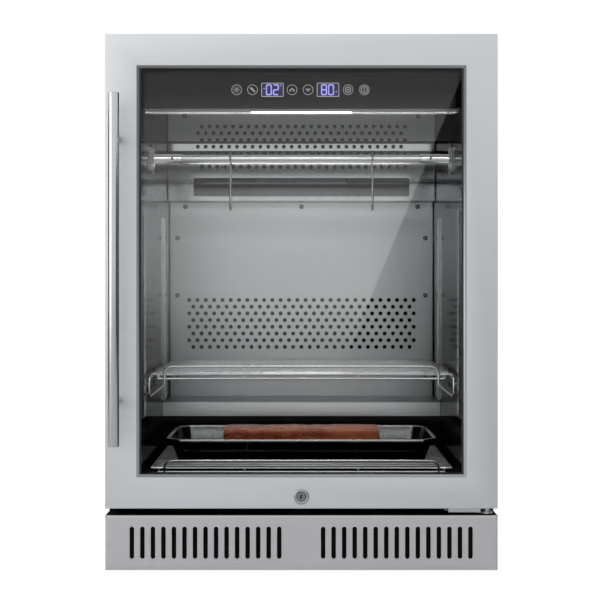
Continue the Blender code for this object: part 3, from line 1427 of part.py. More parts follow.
def control_housing():
    """A box under the ceiling behind the fascia, with a recess for the lamp."""
    front = LINER_FRONT + FASCIA_THICK
    bm = bmesh.new()
    block(bm, (-HOUSING_HALF, HOUSING_HALF), (at(front), at(HOUSING_BACK)), (FASCIA_LOW, CAVITY_TOP - SEAT))
    made = node("control_housing", bm, "black_metal")
    bm = bmesh.new()
    block(bm, (-LED_HALF - SEAT, LED_HALF + SEAT), (at(LED_DEPTHS[0] - SEAT), at(LED_DEPTHS[1] + SEAT)),
          (FASCIA_LOW - OVERRUN, FASCIA_LOW + LED_THICK + SEAT))
    cut(made, bm)
    bm = bmesh.new()
    block(bm, (-LED_HALF, LED_HALF), (at(LED_DEPTHS[0]), at(LED_DEPTHS[1])), (FASCIA_LOW, FASCIA_LOW + LED_THICK))
    node("led_lamp", bm, "lens")


def control_fascia():
    """The black touch fascia, flush under the front frame's top rail, with two display windows."""
    half = CAVITY_HALF - SEAT
    bm = bmesh.new()
    block(bm, (-half, half), (at(CARCASS_FRONT), at(LINER_FRONT + FASCIA_THICK - SEAT)),
          (FASCIA_LOW, CAVITY_TOP - SEAT))
    made = node("control_fascia", bm, "gloss_black")
    bm = bmesh.new()
    for x in DISPLAY_XS.values():
        block(bm, (x - DISPLAY_WIDE / 2 - SEAT, x + DISPLAY_WIDE / 2 + SEAT),
              (at(CARCASS_FRONT - OVERRUN), at(CARCASS_FRONT + DISPLAY_DEEP + SEAT)),
              (DISPLAY_Z - DISPLAY_HIGH / 2 - SEAT, DISPLAY_Z + DISPLAY_HIGH / 2 + SEAT))
    cut(made, bm)
    for name, x in DISPLAY_XS.items():
        bm = bmesh.new()
        block(bm, (x - DISPLAY_WIDE / 2, x + DISPLAY_WIDE / 2),
              (at(CARCASS_FRONT), at(CARCASS_FRONT + DISPLAY_DEEP)),
              (DISPLAY_Z - DISPLAY_HIGH / 2, DISPLAY_Z + DISPLAY_HIGH / 2))
        node(name, bm, "display")


def build_carcass():
    outer_casing()
    insulation()
    inner_liner()
    front_frame()
    base_chassis()
    feet()
    plinth_grille()
    machine_cover()
    mains_inlet()
    lower_hinge()
    upper_hinge()
    lock_keeper()


def build_door():
    door_outer_frame()
    door_inner_frame()
    glazing()
    door_gasket()
    hinge_bushes()
    handle()
    lock()


def build_inside():
    lower_back_panel()
    upper_back_panel()
    air_deflector()
    uv_lamp()
    pilasters()
    shelf_runners()
    wire_shelf("middle_shelf", MIDDLE_SHELF_Z, MIDDLE_SHELF_BACK, MIDDLE_SHELF_WIRES,
               MIDDLE_SHELF_Z - MIDDLE_GUARD_DROP, False)
    wire_shelf("lower_shelf", LOWER_SHELF_Z, LOWER_SHELF_BACK, LOWER_SHELF_WIRES, CAVITY_FLOOR + SEAT, True)
    salt_tray()
    salt_block()
    hanging_rod()
    hooks()
    control_housing()
    control_fascia()


def build_cooling():
    finned_coil("evaporator_coil", COIL_X, COIL_DEEP, COIL_Z, COIL_FINS, "galvanised")
    fan_shroud("evaporator_fan_shroud", **EVAPORATOR_FAN, finish="black_plastic")
    fan = {key: EVAPORATOR_FAN[key] for key in ("centre", "depth", "bore")}
    fan_rotor("evaporator_fan", **fan)
    height = (BAY_FLOOR, BAY_FLOOR + CONDENSER_HALF * 2)
    finned_coil("condenser_coil", CONDENSER_X, CONDENSER_DEEP, height, CONDENSER_FINS, "copper")
    fan_shroud("condenser_fan_shroud", **CONDENSER_FAN, finish="black_plastic")
    fan = {key: CONDENSER_FAN[key] for key in ("centre", "depth", "bore")}
    fan_rotor("condenser_fan", **fan)
    drip_pan(compressor() + SEAT)


def set_origin(name, pivot):
    """Moves a piece's origin to a point on its joint's axis."""
    made = bpy.data.objects[name]
    pivot = Vector(pivot)
    made.data.transform(Matrix.Translation(-pivot))
    made.location = pivot


def hang_door():
    """Parents every piece of the door to an empty on the hinge axis."""
    pivot = Vector((PIVOT_X, at(PIVOT_DEPTH), DOOR_BOTTOM))
    empty = bpy.data.objects.new("door_pivot", None)
    bpy.context.scene.collection.objects.link(empty)
    empty.location = pivot
    for name in DOOR_PIECES:
        piece = bpy.data.objects[name]
        piece.parent = empty
        piece.matrix_parent_inverse = Matrix.Translation(-pivot)


def place_origins():
    set_origin("lock_cylinder", (0, at(0), LOCK_Z))
    for name, x, y in foot_places():
        set_origin(name, (x, y, 0))
    for side, x in (("left", -HOOK_X), ("right", HOOK_X)):
        set_origin(f"hook_{side}", (x, at(ROD_DEPTH), ROD_Z))
    for name, fan in (("evaporator_fan", EVAPORATOR_FAN), ("condenser_fan", CONDENSER_FAN)):
        x, z = fan["centre"]
        set_origin(name, (x, at(fan["depth"][0]), z))
    set_origin("middle_shelf", (0, at(SHELF_FRONT), MIDDLE_SHELF_Z))
    set_origin("lower_shelf", (0, at(SHELF_FRONT), LOWER_SHELF_Z))
    set_origin("salt_tray", (0, at(TRAY_DEPTHS[0]), TRAY_LOW))
    set_origin("salt_block", (0, at(SALT_DEPTHS[0]), TRAY_LOW + TRAY_WALL + SEAT))


clear_scene()
LOOKS = make_looks()
build_carcass()
build_door()
build_inside()
build_cooling()
place_origins()
hang_door()
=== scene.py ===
"""Looks for a dry aging cabinet with a framed glass door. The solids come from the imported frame."""

import random
from math import asin, atan2, cos, pi, radians, sin, tan

import bmesh
import bpy
from mathutils import Matrix, Vector

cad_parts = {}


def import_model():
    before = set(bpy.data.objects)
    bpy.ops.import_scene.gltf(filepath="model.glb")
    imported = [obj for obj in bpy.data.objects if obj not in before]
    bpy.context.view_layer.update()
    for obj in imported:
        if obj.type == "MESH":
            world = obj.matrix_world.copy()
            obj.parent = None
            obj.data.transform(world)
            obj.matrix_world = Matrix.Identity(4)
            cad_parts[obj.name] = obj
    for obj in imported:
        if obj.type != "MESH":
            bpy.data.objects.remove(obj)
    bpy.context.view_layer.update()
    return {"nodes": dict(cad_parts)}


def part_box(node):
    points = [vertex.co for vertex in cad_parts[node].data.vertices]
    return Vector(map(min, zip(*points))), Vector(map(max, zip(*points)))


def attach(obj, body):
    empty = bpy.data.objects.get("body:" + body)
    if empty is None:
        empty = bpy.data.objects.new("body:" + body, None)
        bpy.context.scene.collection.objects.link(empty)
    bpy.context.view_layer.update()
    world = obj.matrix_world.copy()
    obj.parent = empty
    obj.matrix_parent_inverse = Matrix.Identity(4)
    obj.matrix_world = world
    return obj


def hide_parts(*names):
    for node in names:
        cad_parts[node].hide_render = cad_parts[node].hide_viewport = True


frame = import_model()
NODES = frame["nodes"]
QUARTER = pi / 2
SIDES = (("left", -1), ("right", 1))

# Depths are counted from the front face of the door, towards the back
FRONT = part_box("door_outer_frame")[0].y


def at(depth):
    return FRONT + depth


# Sizes of the cabinet, in metres
HALF = 0.2975
HEIGHT = 0.815
DOOR_BOTTOM = 0.0957
CARCASS_FRONT = 0.045
CAVITY_HALF = 0.250
CAVITY_FLOOR = 0.125
CAVITY_TOP = 0.760
CAVITY_BACK = 0.530
STEP_FRONT = 0.377
STEP_TOP = 0.221
# Below this height the liner is black, painted shade
PAINTED_SHADE_TOP = 0.1975
# Above this height the air deflector is black, painted shade
VANE_SHADE_LINE = 0.6156
SATIN_FROM = 0.700
PANEL_SEAM = 0.588
UPPER_PANEL = 0.468
LOWER_PANEL = 0.505
SEAT = 0.0003
SHEET = 0.001


# Materials


class Nodes:
    """A node tree and short ways to add to it. A value is plain or another node's output."""

    def __init__(self, tree):
        self.tree = tree

    def feed(self, node, values):
        for socket, value in dict(values).items():
            target = node.inputs[socket]
            if isinstance(value, bpy.types.NodeSocket):
                self.tree.links.new(value, target)
            else:
                target.default_value = (*value, 1.0) if target.type == "RGBA" else value

    def add(self, kind, values=(), **settings):
        """A new node. It hands back the node's outputs."""
        made = self.tree.nodes.new("ShaderNode" + kind)
        for name, setting in settings.items():
            setattr(made, name, setting)
        self.feed(made, values)
        return made.outputs

    def maths(self, operation, *values):
        return self.add("Math", enumerate(values), operation=operation)["Value"]

    def part(self, vector, axis):
        return self.add("SeparateXYZ", {"Vector": vector})[axis]

    def spread(self, source, low, high, start=0.3, end=0.7):
        """The source between start and end, spread from low to high."""
        ends = {"From Min": start, "From Max": end, "To Min": low, "To Max": high}
        return self.add("MapRange", {"Value": source, **ends})["Result"]

    def ramp(self, source, stops):
        """Colours at two or more places along the source."""
        made = self.add("ValToRGB", {"Fac": source})["Color"]
        elements = made.node.color_ramp.elements
        for index, (place, colour) in enumerate(stops):
            element = elements[index] if index < 2 else elements.new(place)
            element.position = place
            element.color = (*colour, 1.0)
        return made

    def colours(self, source, first, second, start=0.35, end=0.65):
        return self.ramp(source, ((start, first), (end, second)))

    def blend(self, share, first, second):
        return self.add("MixRGB", {"Fac": share, "Color1": first, "Color2": second})["Color"]


class Look(Nodes):
    """A material with a Principled shader."""

    def __init__(self, name, colour, roughness, metallic=0.0, **sockets):
        self.material = bpy.data.materials.new(name)
        self.material.use_nodes = True
        super().__init__(self.material.node_tree)
        self.shader = self.tree.nodes["Principled BSDF"]
        self.drive(Base_Color=colour, Roughness=roughness, Metallic=metallic, **sockets)
        self.place = self.add("TexCoord")["Object"]

    def drive(self, **values):
        """Sockets of the shader, with underscores for the spaces in their names."""
        self.feed(self.shader, {name.replace("_", " "): value for name, value in values.items()})

    def noise(self, scale, detail=3.0, stretch=(1, 1, 1), rough=0.55):
        place = self.add("Mapping", {"Vector": self.place, "Scale": stretch})["Vector"]
        settings = {"Scale": scale, "Detail": detail, "Roughness": rough}
        return self.add("TexNoise", {"Vector": place, **settings})["Fac"]

    def lines(self, grain):
        """Fine scratches that run along a grain."""
        return self.noise(60.0, 4.0, grain)

    def patches(self, low, high):
        """Soft patches, for the gloss."""
        return self.spread(self.noise(7.0), low, high)

    def cells(self, scale, output="Distance"):
        return self.add("TexVoronoi", {"Vector": self.place, "Scale": scale})[output]

    def height(self, low, high):
        """Zero below one height of the cabinet and one above another."""
        return self.spread(self.part(self.place, "Z"), 0.0, 1.0, low, high)

    def bump(self, source, strength, distance=0.0002):
        """The last step of most looks. It hands back the material."""
        settings = {"Strength": strength, "Distance": distance}
        self.drive(Normal=self.add("Bump", {"Height": source, **settings})["Normal"])
        return self.material

    def surface(self, share, first, second):
        """One shader and, by a share, another. It hands back the material."""
        mixed = self.add("MixShader", {"Fac": share, 1: first, 2: second})["Shader"]
        self.feed(self.tree.nodes["Material Output"], {"Surface": mixed})
        return self.material


def scaled(colour, share):
    return tuple(channel * share for channel in colour)


def brushed(name, colour, low, high, grain, tone=0.06, strength=0.05):
    """Rolled or ground steel: fine lines along one axis, soft patches in the gloss."""
    look = Look(name, colour, (low + high) / 2, 1.0)
    lines = look.lines(grain)
    gloss = look.maths("ADD", look.spread(lines, 0, 0.6), look.patches(0, 0.4))
    look.drive(Roughness=look.spread(gloss, low, high, 0, 1),
               Base_Color=look.colours(lines, scaled(colour, 1 - tone), colour))
    return look.bump(lines, strength)


def coated(name, colour, roughness, scale, strength, tone=1.25, **sockets):
    """Paint or moulded plastic: an orange-peel surface with faint patches of tone."""
    look = Look(name, colour, roughness, **sockets)
    patches = look.noise(9.0)
    look.drive(Base_Color=look.colours(patches, colour, scaled(colour, tone)),
               Roughness=look.spread(patches, roughness - 0.04, roughness + 0.05))
    return look.bump(look.noise(scale), strength, 0.0003)


def glowing(name, colour, light, strength, scale=80.0):
    """A lit surface whose light is faintly uneven."""
    look = Look(name, colour, 0.35, Emission_Strength=strength)
    look.drive(Emission_Color=look.colours(look.noise(scale, 2.0), scaled(light, 0.93), light))
    return look.material


# The stretch of the noise that draws the lines along an axis, along a wire, or without a direction
ALONG_X = (0.12, 14, 14)
ALONG_Z = (14, 14, 0.12)
ALONG_WIRE = (0.3, 14, 14)
EVENLY = (8, 8, 8)


def liner_look():
    """Polished steel walls with painted shade: darker and duller near the floor and the ceiling, and black
    without gloss below one height, where the cavity's floor lies in shade.
    """
    look = Look("liner", (0.38, 0.385, 0.40), 0.11, 1.0)
    lines = look.lines(ALONG_Z)
    # The walls' steel, and a dark tone that is painted shade near the floor and the ceiling
    steel, shade_tone = look.colours(lines, (0.36, 0.365, 0.38), (0.39, 0.395, 0.41)), (0.06, 0.06, 0.063)
    near_floor, near_ceiling = look.height(0.36, 0.50), look.height(0.61, 0.67)
    tone = look.blend(near_ceiling, look.blend(near_floor, shade_tone, steel), shade_tone)
    shaded_edge_tint = look.blend(near_floor, (0.24, 0.24, 0.245), (0.5, 0.5, 0.51))
    # Below this height the walls are black without gloss, painted shade low in the cavity
    wall = look.height(PAINTED_SHADE_TOP - 0.012, PAINTED_SHADE_TOP + 0.018)
    look.drive(Base_Color=look.blend(wall, (0.004, 0.004, 0.004), tone), Metallic=wall,
               Specular_Tint=look.blend(near_ceiling, shaded_edge_tint, (0.15, 0.15, 0.153)),
               Specular_IOR_Level=look.spread(wall, 0.008, 0.5, 0.0, 1.0), Roughness=look.patches(0.08, 0.15))
    return look.bump(lines, 0.015)


def upper_panel_look():
    """Ground steel that blurs sideways and stays sharp upwards, satin behind the header."""
    look = Look("upper_panel_steel", (0.52, 0.525, 0.535), 0.09, 1.0, Anisotropic=1.0)
    lines = look.lines(ALONG_X)
    satin = look.height(SATIN_FROM - 0.002, SATIN_FROM + 0.004)
    look.drive(Tangent=look.add("CombineXYZ", {"X": 1.0})["Vector"],
               Base_Color=look.colours(lines, (0.50, 0.505, 0.515), (0.52, 0.525, 0.535)),
               Roughness=look.spread(satin, 0.09, 0.42, 0.0, 1.0))
    return look.bump(lines, 0.002)


def pilaster_look():
    """Rolled channels darkened by painted shade, whose cut front edges carry a painted highlight."""
    look = Look("pilaster_steel", (0.22, 0.225, 0.235), 0.18, 1.0)
    lines = look.lines(ALONG_Z)
    shade_tone = look.colours(lines, (0.20, 0.205, 0.215), (0.23, 0.235, 0.245))
    # Faces that look to the front get a bright painted highlight; the rest keep the dark tone of painted
    # shade
    side = look.spread(look.part(look.add("NewGeometry")["True Normal"], "Y"), 0.0, 1.0, -0.9, -0.7)
    look.drive(Base_Color=look.blend(side, (0.85, 0.85, 0.86), shade_tone), Roughness=look.patches(0.14, 0.22))
    return look.bump(lines, 0.03)


def vane_look():
    """The air deflector: bright steel on its ledge, and black above the ledge, which is painted shade."""
    look = Look("vane_steel", (0.60, 0.605, 0.61), 0.55, 1.0)
    lines = look.lines(ALONG_X)
    steel = look.colours(lines, (0.57, 0.575, 0.58), (0.60, 0.605, 0.61))
    # Above this height the deflector is black, painted shade
    shaded_above = look.height(VANE_SHADE_LINE - 0.001, VANE_SHADE_LINE + 0.001)
    look.drive(Base_Color=look.blend(shaded_above, steel, (0.01, 0.01, 0.01)), Roughness=look.patches(0.50, 0.60))
    return look.bump(lines, 0.03)


def glass_look():
    """Clear panes that let the lamps reach what is behind them."""
    look = Look("clear_glass", (0.965, 0.975, 0.972), 0.0, IOR=1.45, Transmission_Weight=1.0)
    look.drive(Base_Color=look.colours(look.noise(3.0, 2.0), (0.960, 0.972, 0.970), (0.970, 0.978, 0.974)))
    clear = look.add("BsdfTransparent", {"Color": (0.92, 0.94, 0.94)})["BSDF"]
    return look.surface(look.add("LightPath")["Is Shadow Ray"], look.shader.outputs["BSDF"], clear)


def salt_look():
    look = Look("salt", (0.30, 0.09, 0.04), 0.25, Subsurface_Weight=0.30, Subsurface_Scale=0.6,
                Subsurface_Radius=(0.02, 0.008, 0.004))
    veins = look.noise(18.0, 6.0, (0.6, 1.2, 1.6), 0.65)
    look.drive(Base_Color=look.colours(veins, (0.18, 0.024, 0.006), (0.40, 0.115, 0.045), 0.36, 0.66),
               Roughness=look.spread(veins, 0.14, 0.40))
    return look.bump(look.cells(150.0), 0.35, 0.0015)


def zinc_look():
    look = Look("zinc", (0.50, 0.51, 0.52), 0.42, 1.0)
    spangle = look.add("RGBToBW", {"Color": look.cells(60.0, "Color")})["Val"]
    look.drive(Base_Color=look.colours(spangle, (0.42, 0.43, 0.44), (0.60, 0.61, 0.62), 0.2, 0.8),
               Roughness=look.spread(spangle, 0.34, 0.52, 0.2, 0.8))
    return look.bump(spangle, 0.05, 0.0003)


def foam_look():
    look = Look("foam", (0.72, 0.64, 0.42), 0.9)
    look.drive(Base_Color=look.colours(look.noise(40.0, 4.0), (0.62, 0.54, 0.34), (0.76, 0.69, 0.48)))
    return look.bump(look.cells(400.0), 0.5, 0.0008)


# Colour, least and most roughness, grain, then tone of the lines and strength of the bump
STEELS = {
    "frame_steel": ((0.63, 0.65, 0.667), 0.44, 0.54, ALONG_X),
    "plinth_steel": ((0.545, 0.545, 0.56), 0.40, 0.50, ALONG_X),
    # A darker copy of the frame steel: painted shade on the door's inner bevel
    "bevel_steel": ((0.26, 0.27, 0.28), 0.30, 0.40, EVENLY),
    "handle_steel": ((0.54, 0.55, 0.56), 0.20, 0.28, ALONG_Z, 0.05, 0.03),
    "lock_steel": ((0.36, 0.365, 0.37), 0.22, 0.34, EVENLY, 0.06, 0.02),
    "dark_steel": ((0.23, 0.23, 0.24), 0.30, 0.42, EVENLY, 0.10, 0.03),
    "bright_steel": ((0.86, 0.86, 0.87), 0.16, 0.26, EVENLY, 0.04, 0.02),
    "bright_rod": ((0.80, 0.80, 0.81), 0.30, 0.40, ALONG_WIRE, 0.04, 0.02),
    "wire_bright": ((0.84, 0.84, 0.85), 0.16, 0.24, ALONG_WIRE, 0.03, 0.004),
    # A darker copy of the bright wire: painted shade on the lower shelf behind its front wires
    "wire_dull": ((0.47, 0.47, 0.475), 0.26, 0.34, ALONG_WIRE, 0.03, 0.004),
    "panel_steel": ((0.64, 0.645, 0.655), 0.30, 0.40, ALONG_X, 0.05, 0.03),
    # Lighter and darker copies of the panel steel: painted light on the step's front, painted shade on its
    # top
    "step_front": ((0.78, 0.785, 0.795), 0.30, 0.40, ALONG_X, 0.05, 0.03),
    "step_top": ((0.44, 0.445, 0.455), 0.30, 0.40, ALONG_X, 0.05, 0.03),
    "tray_steel": ((0.26, 0.26, 0.265), 0.06, 0.12, ALONG_X, 0.03, 0.01),
    # A darker copy of the tray steel: painted shade on the tray's outside
    "tray_outside": ((0.06, 0.06, 0.062), 0.10, 0.18, ALONG_X, 0.03, 0.01),
    # A lighter copy: a painted highlight on the rim and along the bottom front edge
    "tray_rim": ((0.58, 0.58, 0.59), 0.14, 0.22, ALONG_X, 0.03, 0.01),
    "fin": ((0.62, 0.63, 0.64), 0.26, 0.38, (14, 14, 0.2)),
    "copper": ((0.66, 0.33, 0.20), 0.22, 0.38, ALONG_X, 0.18, 0.04),
}
# Colour, roughness, scale and strength of the peel, then tone of the patches
COATS = {
    "underside": ((0.64, 0.64, 0.645), 0.42, 900.0, 0.05, 1.05),
    "black_metal": ((0.016, 0.016, 0.017), 0.42, 900.0, 0.25),
    "bitumen": ((0.012, 0.012, 0.013), 0.55, 300.0, 0.30),
    "black_plastic": ((0.010, 0.010, 0.011), 0.40, 1200.0, 0.12),
    "gloss_black": ((0.0035, 0.0035, 0.004), 0.07, 60.0, 0.004),
    "rubber": ((0.013, 0.013, 0.013), 0.62, 700.0, 0.20),
}
# Colour, then colour and strength of the light, then scale of its patches
GLOWS = {
    "display": ((0.003, 0.002, 0.025), (0.012, 0.010, 0.110), 0.40),
    "display_rim": ((0.40, 0.40, 0.39), (0.50, 0.50, 0.49), 0.95),
    "print": ((0.40, 0.40, 0.39), (0.45, 0.45, 0.44), 0.55),
    "digit": ((0.35, 0.33, 0.85), (0.42, 0.38, 0.98), 1.0),
    "led": ((0.9, 0.9, 0.9), (1.0, 1.0, 1.0), 2.6, 60.0),
    "uv_tube": ((0.7, 0.7, 0.78), (0.55, 0.52, 0.75), 0.05),
}
LOOKS = {name: make(name, *row) for make, rows in ((brushed, STEELS), (coated, COATS), (glowing, GLOWS))
         for name, row in rows.items()}
LOOKS.update({
    # A black mat without gloss: painted shade, for sheets and faces where there is only shade
    "shade_black": coated("shade_black", (0.003, 0.003, 0.003), 0.85, 1500.0, 0.6, 1.6,
                         Specular_IOR_Level=0.05),
    "liner": liner_look(),
    "upper_panel_steel": upper_panel_look(),
    "pilaster_steel": pilaster_look(),
    "vane_steel": vane_look(),
    "clear_glass": glass_look(),
    "salt": salt_look(),
    "zinc": zinc_look(),
    "foam": foam_look(),
})


# Outlines


def rectangle(low, high):
    return [(low[0], low[1]), (high[0], low[1]), (high[0], high[1]), (low[0], high[1])]


def arc(centre, radius, first, last, steps):
    turns = [first + (last - first) * index / steps for index in range(steps + 1)]
    return [(centre[0] + radius * cos(a), centre[1] + radius * sin(a)) for a in turns]


def rounded(low, high, radius, steps=6):
    """A rectangle with round corners."""
    left, bottom, right, top = low[0] + radius, low[1] + radius, high[0] - radius, high[1] - radius
    outline = []
    for turn, centre in enumerate(((right, bottom), (right, top), (left, top), (left, bottom)), -1):
        outline += arc(centre, radius, turn * QUARTER, (turn + 1) * QUARTER, steps)
    return outline


def circle(centre, radius, steps):
    return arc(centre, radius, 0, 2 * pi * (steps - 1) / steps, steps - 1)


# Meshes


def add_object(name, data):
    made = bpy.data.objects.new(name, data)
    bpy.context.scene.collection.objects.link(made)
    return made


def piece(name, bm, look, replaces=(), body="cabinet", smooth=35):
    """A finished piece of the cabinet that rides on a body and may stand for CAD nodes."""
    bmesh.ops.recalc_face_normals(bm, faces=bm.faces)
    mesh = bpy.data.meshes.new(name)
    bm.to_mesh(mesh)
    bm.free()
    made = add_object(name, mesh)
    mesh.materials.append(LOOKS[look])
    if smooth:
        mesh.shade_smooth()
        mesh.set_sharp_from_angle(angle=radians(smooth))
    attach(made, body)
    if replaces:
        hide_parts(*replaces)
    return made


def mark(made, look, test):
    """Gives another look to the faces that pass a test."""
    made.data.materials.append(LOOKS[look])
    index = len(made.data.materials) - 1
    for face in made.data.polygons:
        if test(face):
            face.material_index = index


def loft(bm, outlines, capped=True, closed=False):
    """A skin over outlines of points in space. An outline may be a single point."""
    rings = [[bm.verts.new(point) for point in outline] for outline in outlines]
    for lower, upper in zip(rings, rings[1:] + (rings[:1] if closed else [])):
        count = max(len(lower), len(upper))
        for index in range(count):
            other = (index + 1) % count
            corners = (lower, index), (lower, other), (upper, other), (upper, index)
            bm.faces.new(list(dict.fromkeys(ring[step % len(ring)] for ring, step in corners)))
    if capped:
        bm.faces.new(rings[0][::-1])
        bm.faces.new(rings[-1])


def prism(bm, outline, axis, low, high):
    """A straight prism. The outline holds the other two coordinates, in X, Y, Z order."""
    spot = "XYZ".index(axis)
    loft(bm, [[(*point[:spot], place, *point[spot:]) for point in outline] for place in (low, high)])


def block(bm, x, y, z):
    prism(bm, rectangle((x[0], y[0]), (x[1], y[1])), "Z", *z)


def holed_plate(bm, outlines, front, thick, edge=0.0):
    """A flat plate that faces -Y. The first outline (x, z) is its edge and the others are holes."""
    curve = bpy.data.curves.new("plate", "CURVE")
    curve.dimensions = "2D"
    curve.fill_mode = "BOTH"
    curve.extrude = thick / 2 - edge
    curve.bevel_depth = edge
    curve.bevel_resolution = 0
    curve.offset = -edge
    for outline in outlines:
        spline = curve.splines.new("POLY")
        spline.points.add(len(outline) - 1)
        for point, (x, z) in zip(spline.points, outline):
            point.co = (x, z, 0.0, 1.0)
        spline.use_cyclic_u = True
    helper = add_object("plate", curve)
    mesh = bpy.data.meshes.new_from_object(helper)
    mesh.transform(Matrix.Translation((0, front + thick / 2, 0)) @ Matrix.Rotation(QUARTER, 4, "X"))
    bm.from_mesh(mesh)
    bpy.data.objects.remove(helper)
    bpy.data.curves.remove(curve)
    bpy.data.meshes.remove(mesh)


def turned(bm, profile, centre, axis, sides):
    """A turned skin. Its profile holds (radius, height) points."""
    across = {"X": ((0, 1, 0), (0, 0, 1), (1, 0, 0)), "Y": ((1, 0, 0), (0, 0, 1), (0, 1, 0)),
              "Z": ((1, 0, 0), (0, 1, 0), (0, 0, 1))}[axis]
    first, second, along = (Vector(one) for one in across)
    outlines = []
    for radius, height in profile:
        middle = Vector(centre) + along * height
        turns = [2 * pi * index / sides for index in range(sides if radius else 1)]
        outlines.append([middle + radius * (first * cos(a) + second * sin(a)) for a in turns])
    loft(bm, outlines, capped=False)


def sweep(bm, points, radius, sides=12, closed=False):
    """A round wire through points, with slightly rounded ends."""
    points = [Vector(point) for point in points]
    last = len(points) - 1
    normal = (points[1] - points[-1 if closed else 0]).normalized().orthogonal().normalized()
    stations = []
    for index, point in enumerate(points):
        before = points[index - 1] if index or closed else point
        after = points[(index + 1) % len(points)] if index < last or closed else point
        ahead = (after - before).normalized()
        normal = (normal - ahead * normal.dot(ahead)).normalized()
        inside = closed or 0 < index < last
        width = 1 / cos((point - before).angle(after - point) / 2) if inside else 1.0
        stations.append((point, normal, ahead, radius * width))

    def tip(station, inward):
        place, normal, ahead, _ = station
        return [(place, normal, ahead, radius * 0.6), (place + ahead * inward, normal, ahead, radius)]

    if not closed:
        trim = radius * 0.35
        stations = tip(stations[0], trim) + stations[1:-1] + tip(stations[-1], -trim)[::-1]
    turns = [2 * pi * step / sides for step in range(sides)]
    loft(bm, [[place + (normal * cos(a) + ahead.cross(normal) * sin(a)) * width for a in turns]
              for place, normal, ahead, width in stations], not closed, closed)


def softened(name, node, look, width, pick, segments=2, body="cabinet"):
    """A copy of a CAD node whose picked edges are rounded. It stands for the node."""
    bm = bmesh.new()
    bm.from_mesh(NODES[node].data)
    bmesh.ops.remove_doubles(bm, verts=bm.verts, dist=1e-6)
    bmesh.ops.dissolve_limit(bm, angle_limit=radians(1), verts=bm.verts, edges=bm.edges)
    sharp = [edge for edge in bm.edges
             if len(edge.link_faces) == 2 and edge.calc_face_angle() > radians(25)]
    chosen = [edge for edge in sharp if pick(edge.verts[0].co, edge.verts[1].co)]
    bmesh.ops.bevel(bm, geom=chosen, offset=width, segments=segments, profile=0.5, affect="EDGES",
                    clamp_overlap=True)
    return piece(name, bm, look, (node,), body, 50)


def bent_sheet(bm, path, thick, axis, low, high):
    """A folded sheet. Its path holds points of the outer face, and the sheet lies to their left."""
    outer = [Vector(point) for point in path]
    inner = []
    for index, point in enumerate(outer):
        before = (point - outer[index - 1]).normalized() if index else None
        after = (outer[index + 1] - point).normalized() if index < len(outer) - 1 else None
        ahead = ((before or after) + (after or before)).normalized()
        left = Vector((-ahead.y, ahead.x))
        stretch = 1.0 if before is None or after is None else 1 / cos(before.angle(after) / 2)
        inner.append(point + left * thick * stretch)
    prism(bm, outer + inner[::-1], axis, low, high)


def side_folds(bm, half, front, back, fold, thick, low, high, steps):
    """The two side flanges of a sheet that faces -Y."""
    for sign in (-1, 1):
        last = 0 if sign > 0 else -2 * QUARTER
        bend = arc((sign * (half - fold), front + fold), fold, -QUARTER, last, steps)
        bent_sheet(bm, (bend + [(sign * half, back)])[::sign], thick, "Z", low, high)


def shade_sheet(name, half, low, high, front, thick):
    """A black sheet behind openings: painted shade where only the dark behind them shows."""
    bm = bmesh.new()
    holed_plate(bm, [rounded((-half, low), (half, high), 0.004)], front, thick, 0.0004)
    piece(name, bm, "shade_black")


def screw(bm, place, facing, radius, high, cross=True):
    """A pan-head screw with or without a cross. It faces -Y, -X or +X."""
    before = len(bm.verts)
    steps = 5
    rim = high * 0.35
    dome = [QUARTER * index / steps for index in range(1, steps)]
    profile = [(0, 0), (radius, 0), (radius, rim)]
    profile += [(radius * cos(a), rim + (high - rim) * sin(a)) for a in dome]
    if cross:
        profile += [(radius * 0.30, high), (radius * 0.22, rim), (0, high * 0.25)]
        for x, y in ((0.55, 0.10), (0.10, 0.55)):
            block(bm, (-radius * x, radius * x), (-radius * y, radius * y), (high * 0.98, high * 1.02))
    else:
        profile.append((0, high))
    turned(bm, profile, (0, 0, 0), "Z", 20)
    angle, axis = {"-Y": (QUARTER, "X"), "+X": (QUARTER, "Y"), "-X": (-QUARTER, "Y")}[facing]
    matrix = Matrix.Translation(place) @ Matrix.Rotation(angle, 4, axis)
    bm.verts.ensure_lookup_table()
    bmesh.ops.transform(bm, matrix=matrix, verts=bm.verts[before:])


# Carcass and plinth

PLINTH_CLEAR = 0.0025
PLINTH_TOP = 0.0855
PLINTH_SHEET = 0.002
SLOT_COUNT = 15
SLOT_PITCH = 0.01595
SLOT_WIDE = 0.0069
SLOT_HIGH = 0.0488
SLOT_GROUPS = (-0.1453, 0.1445)


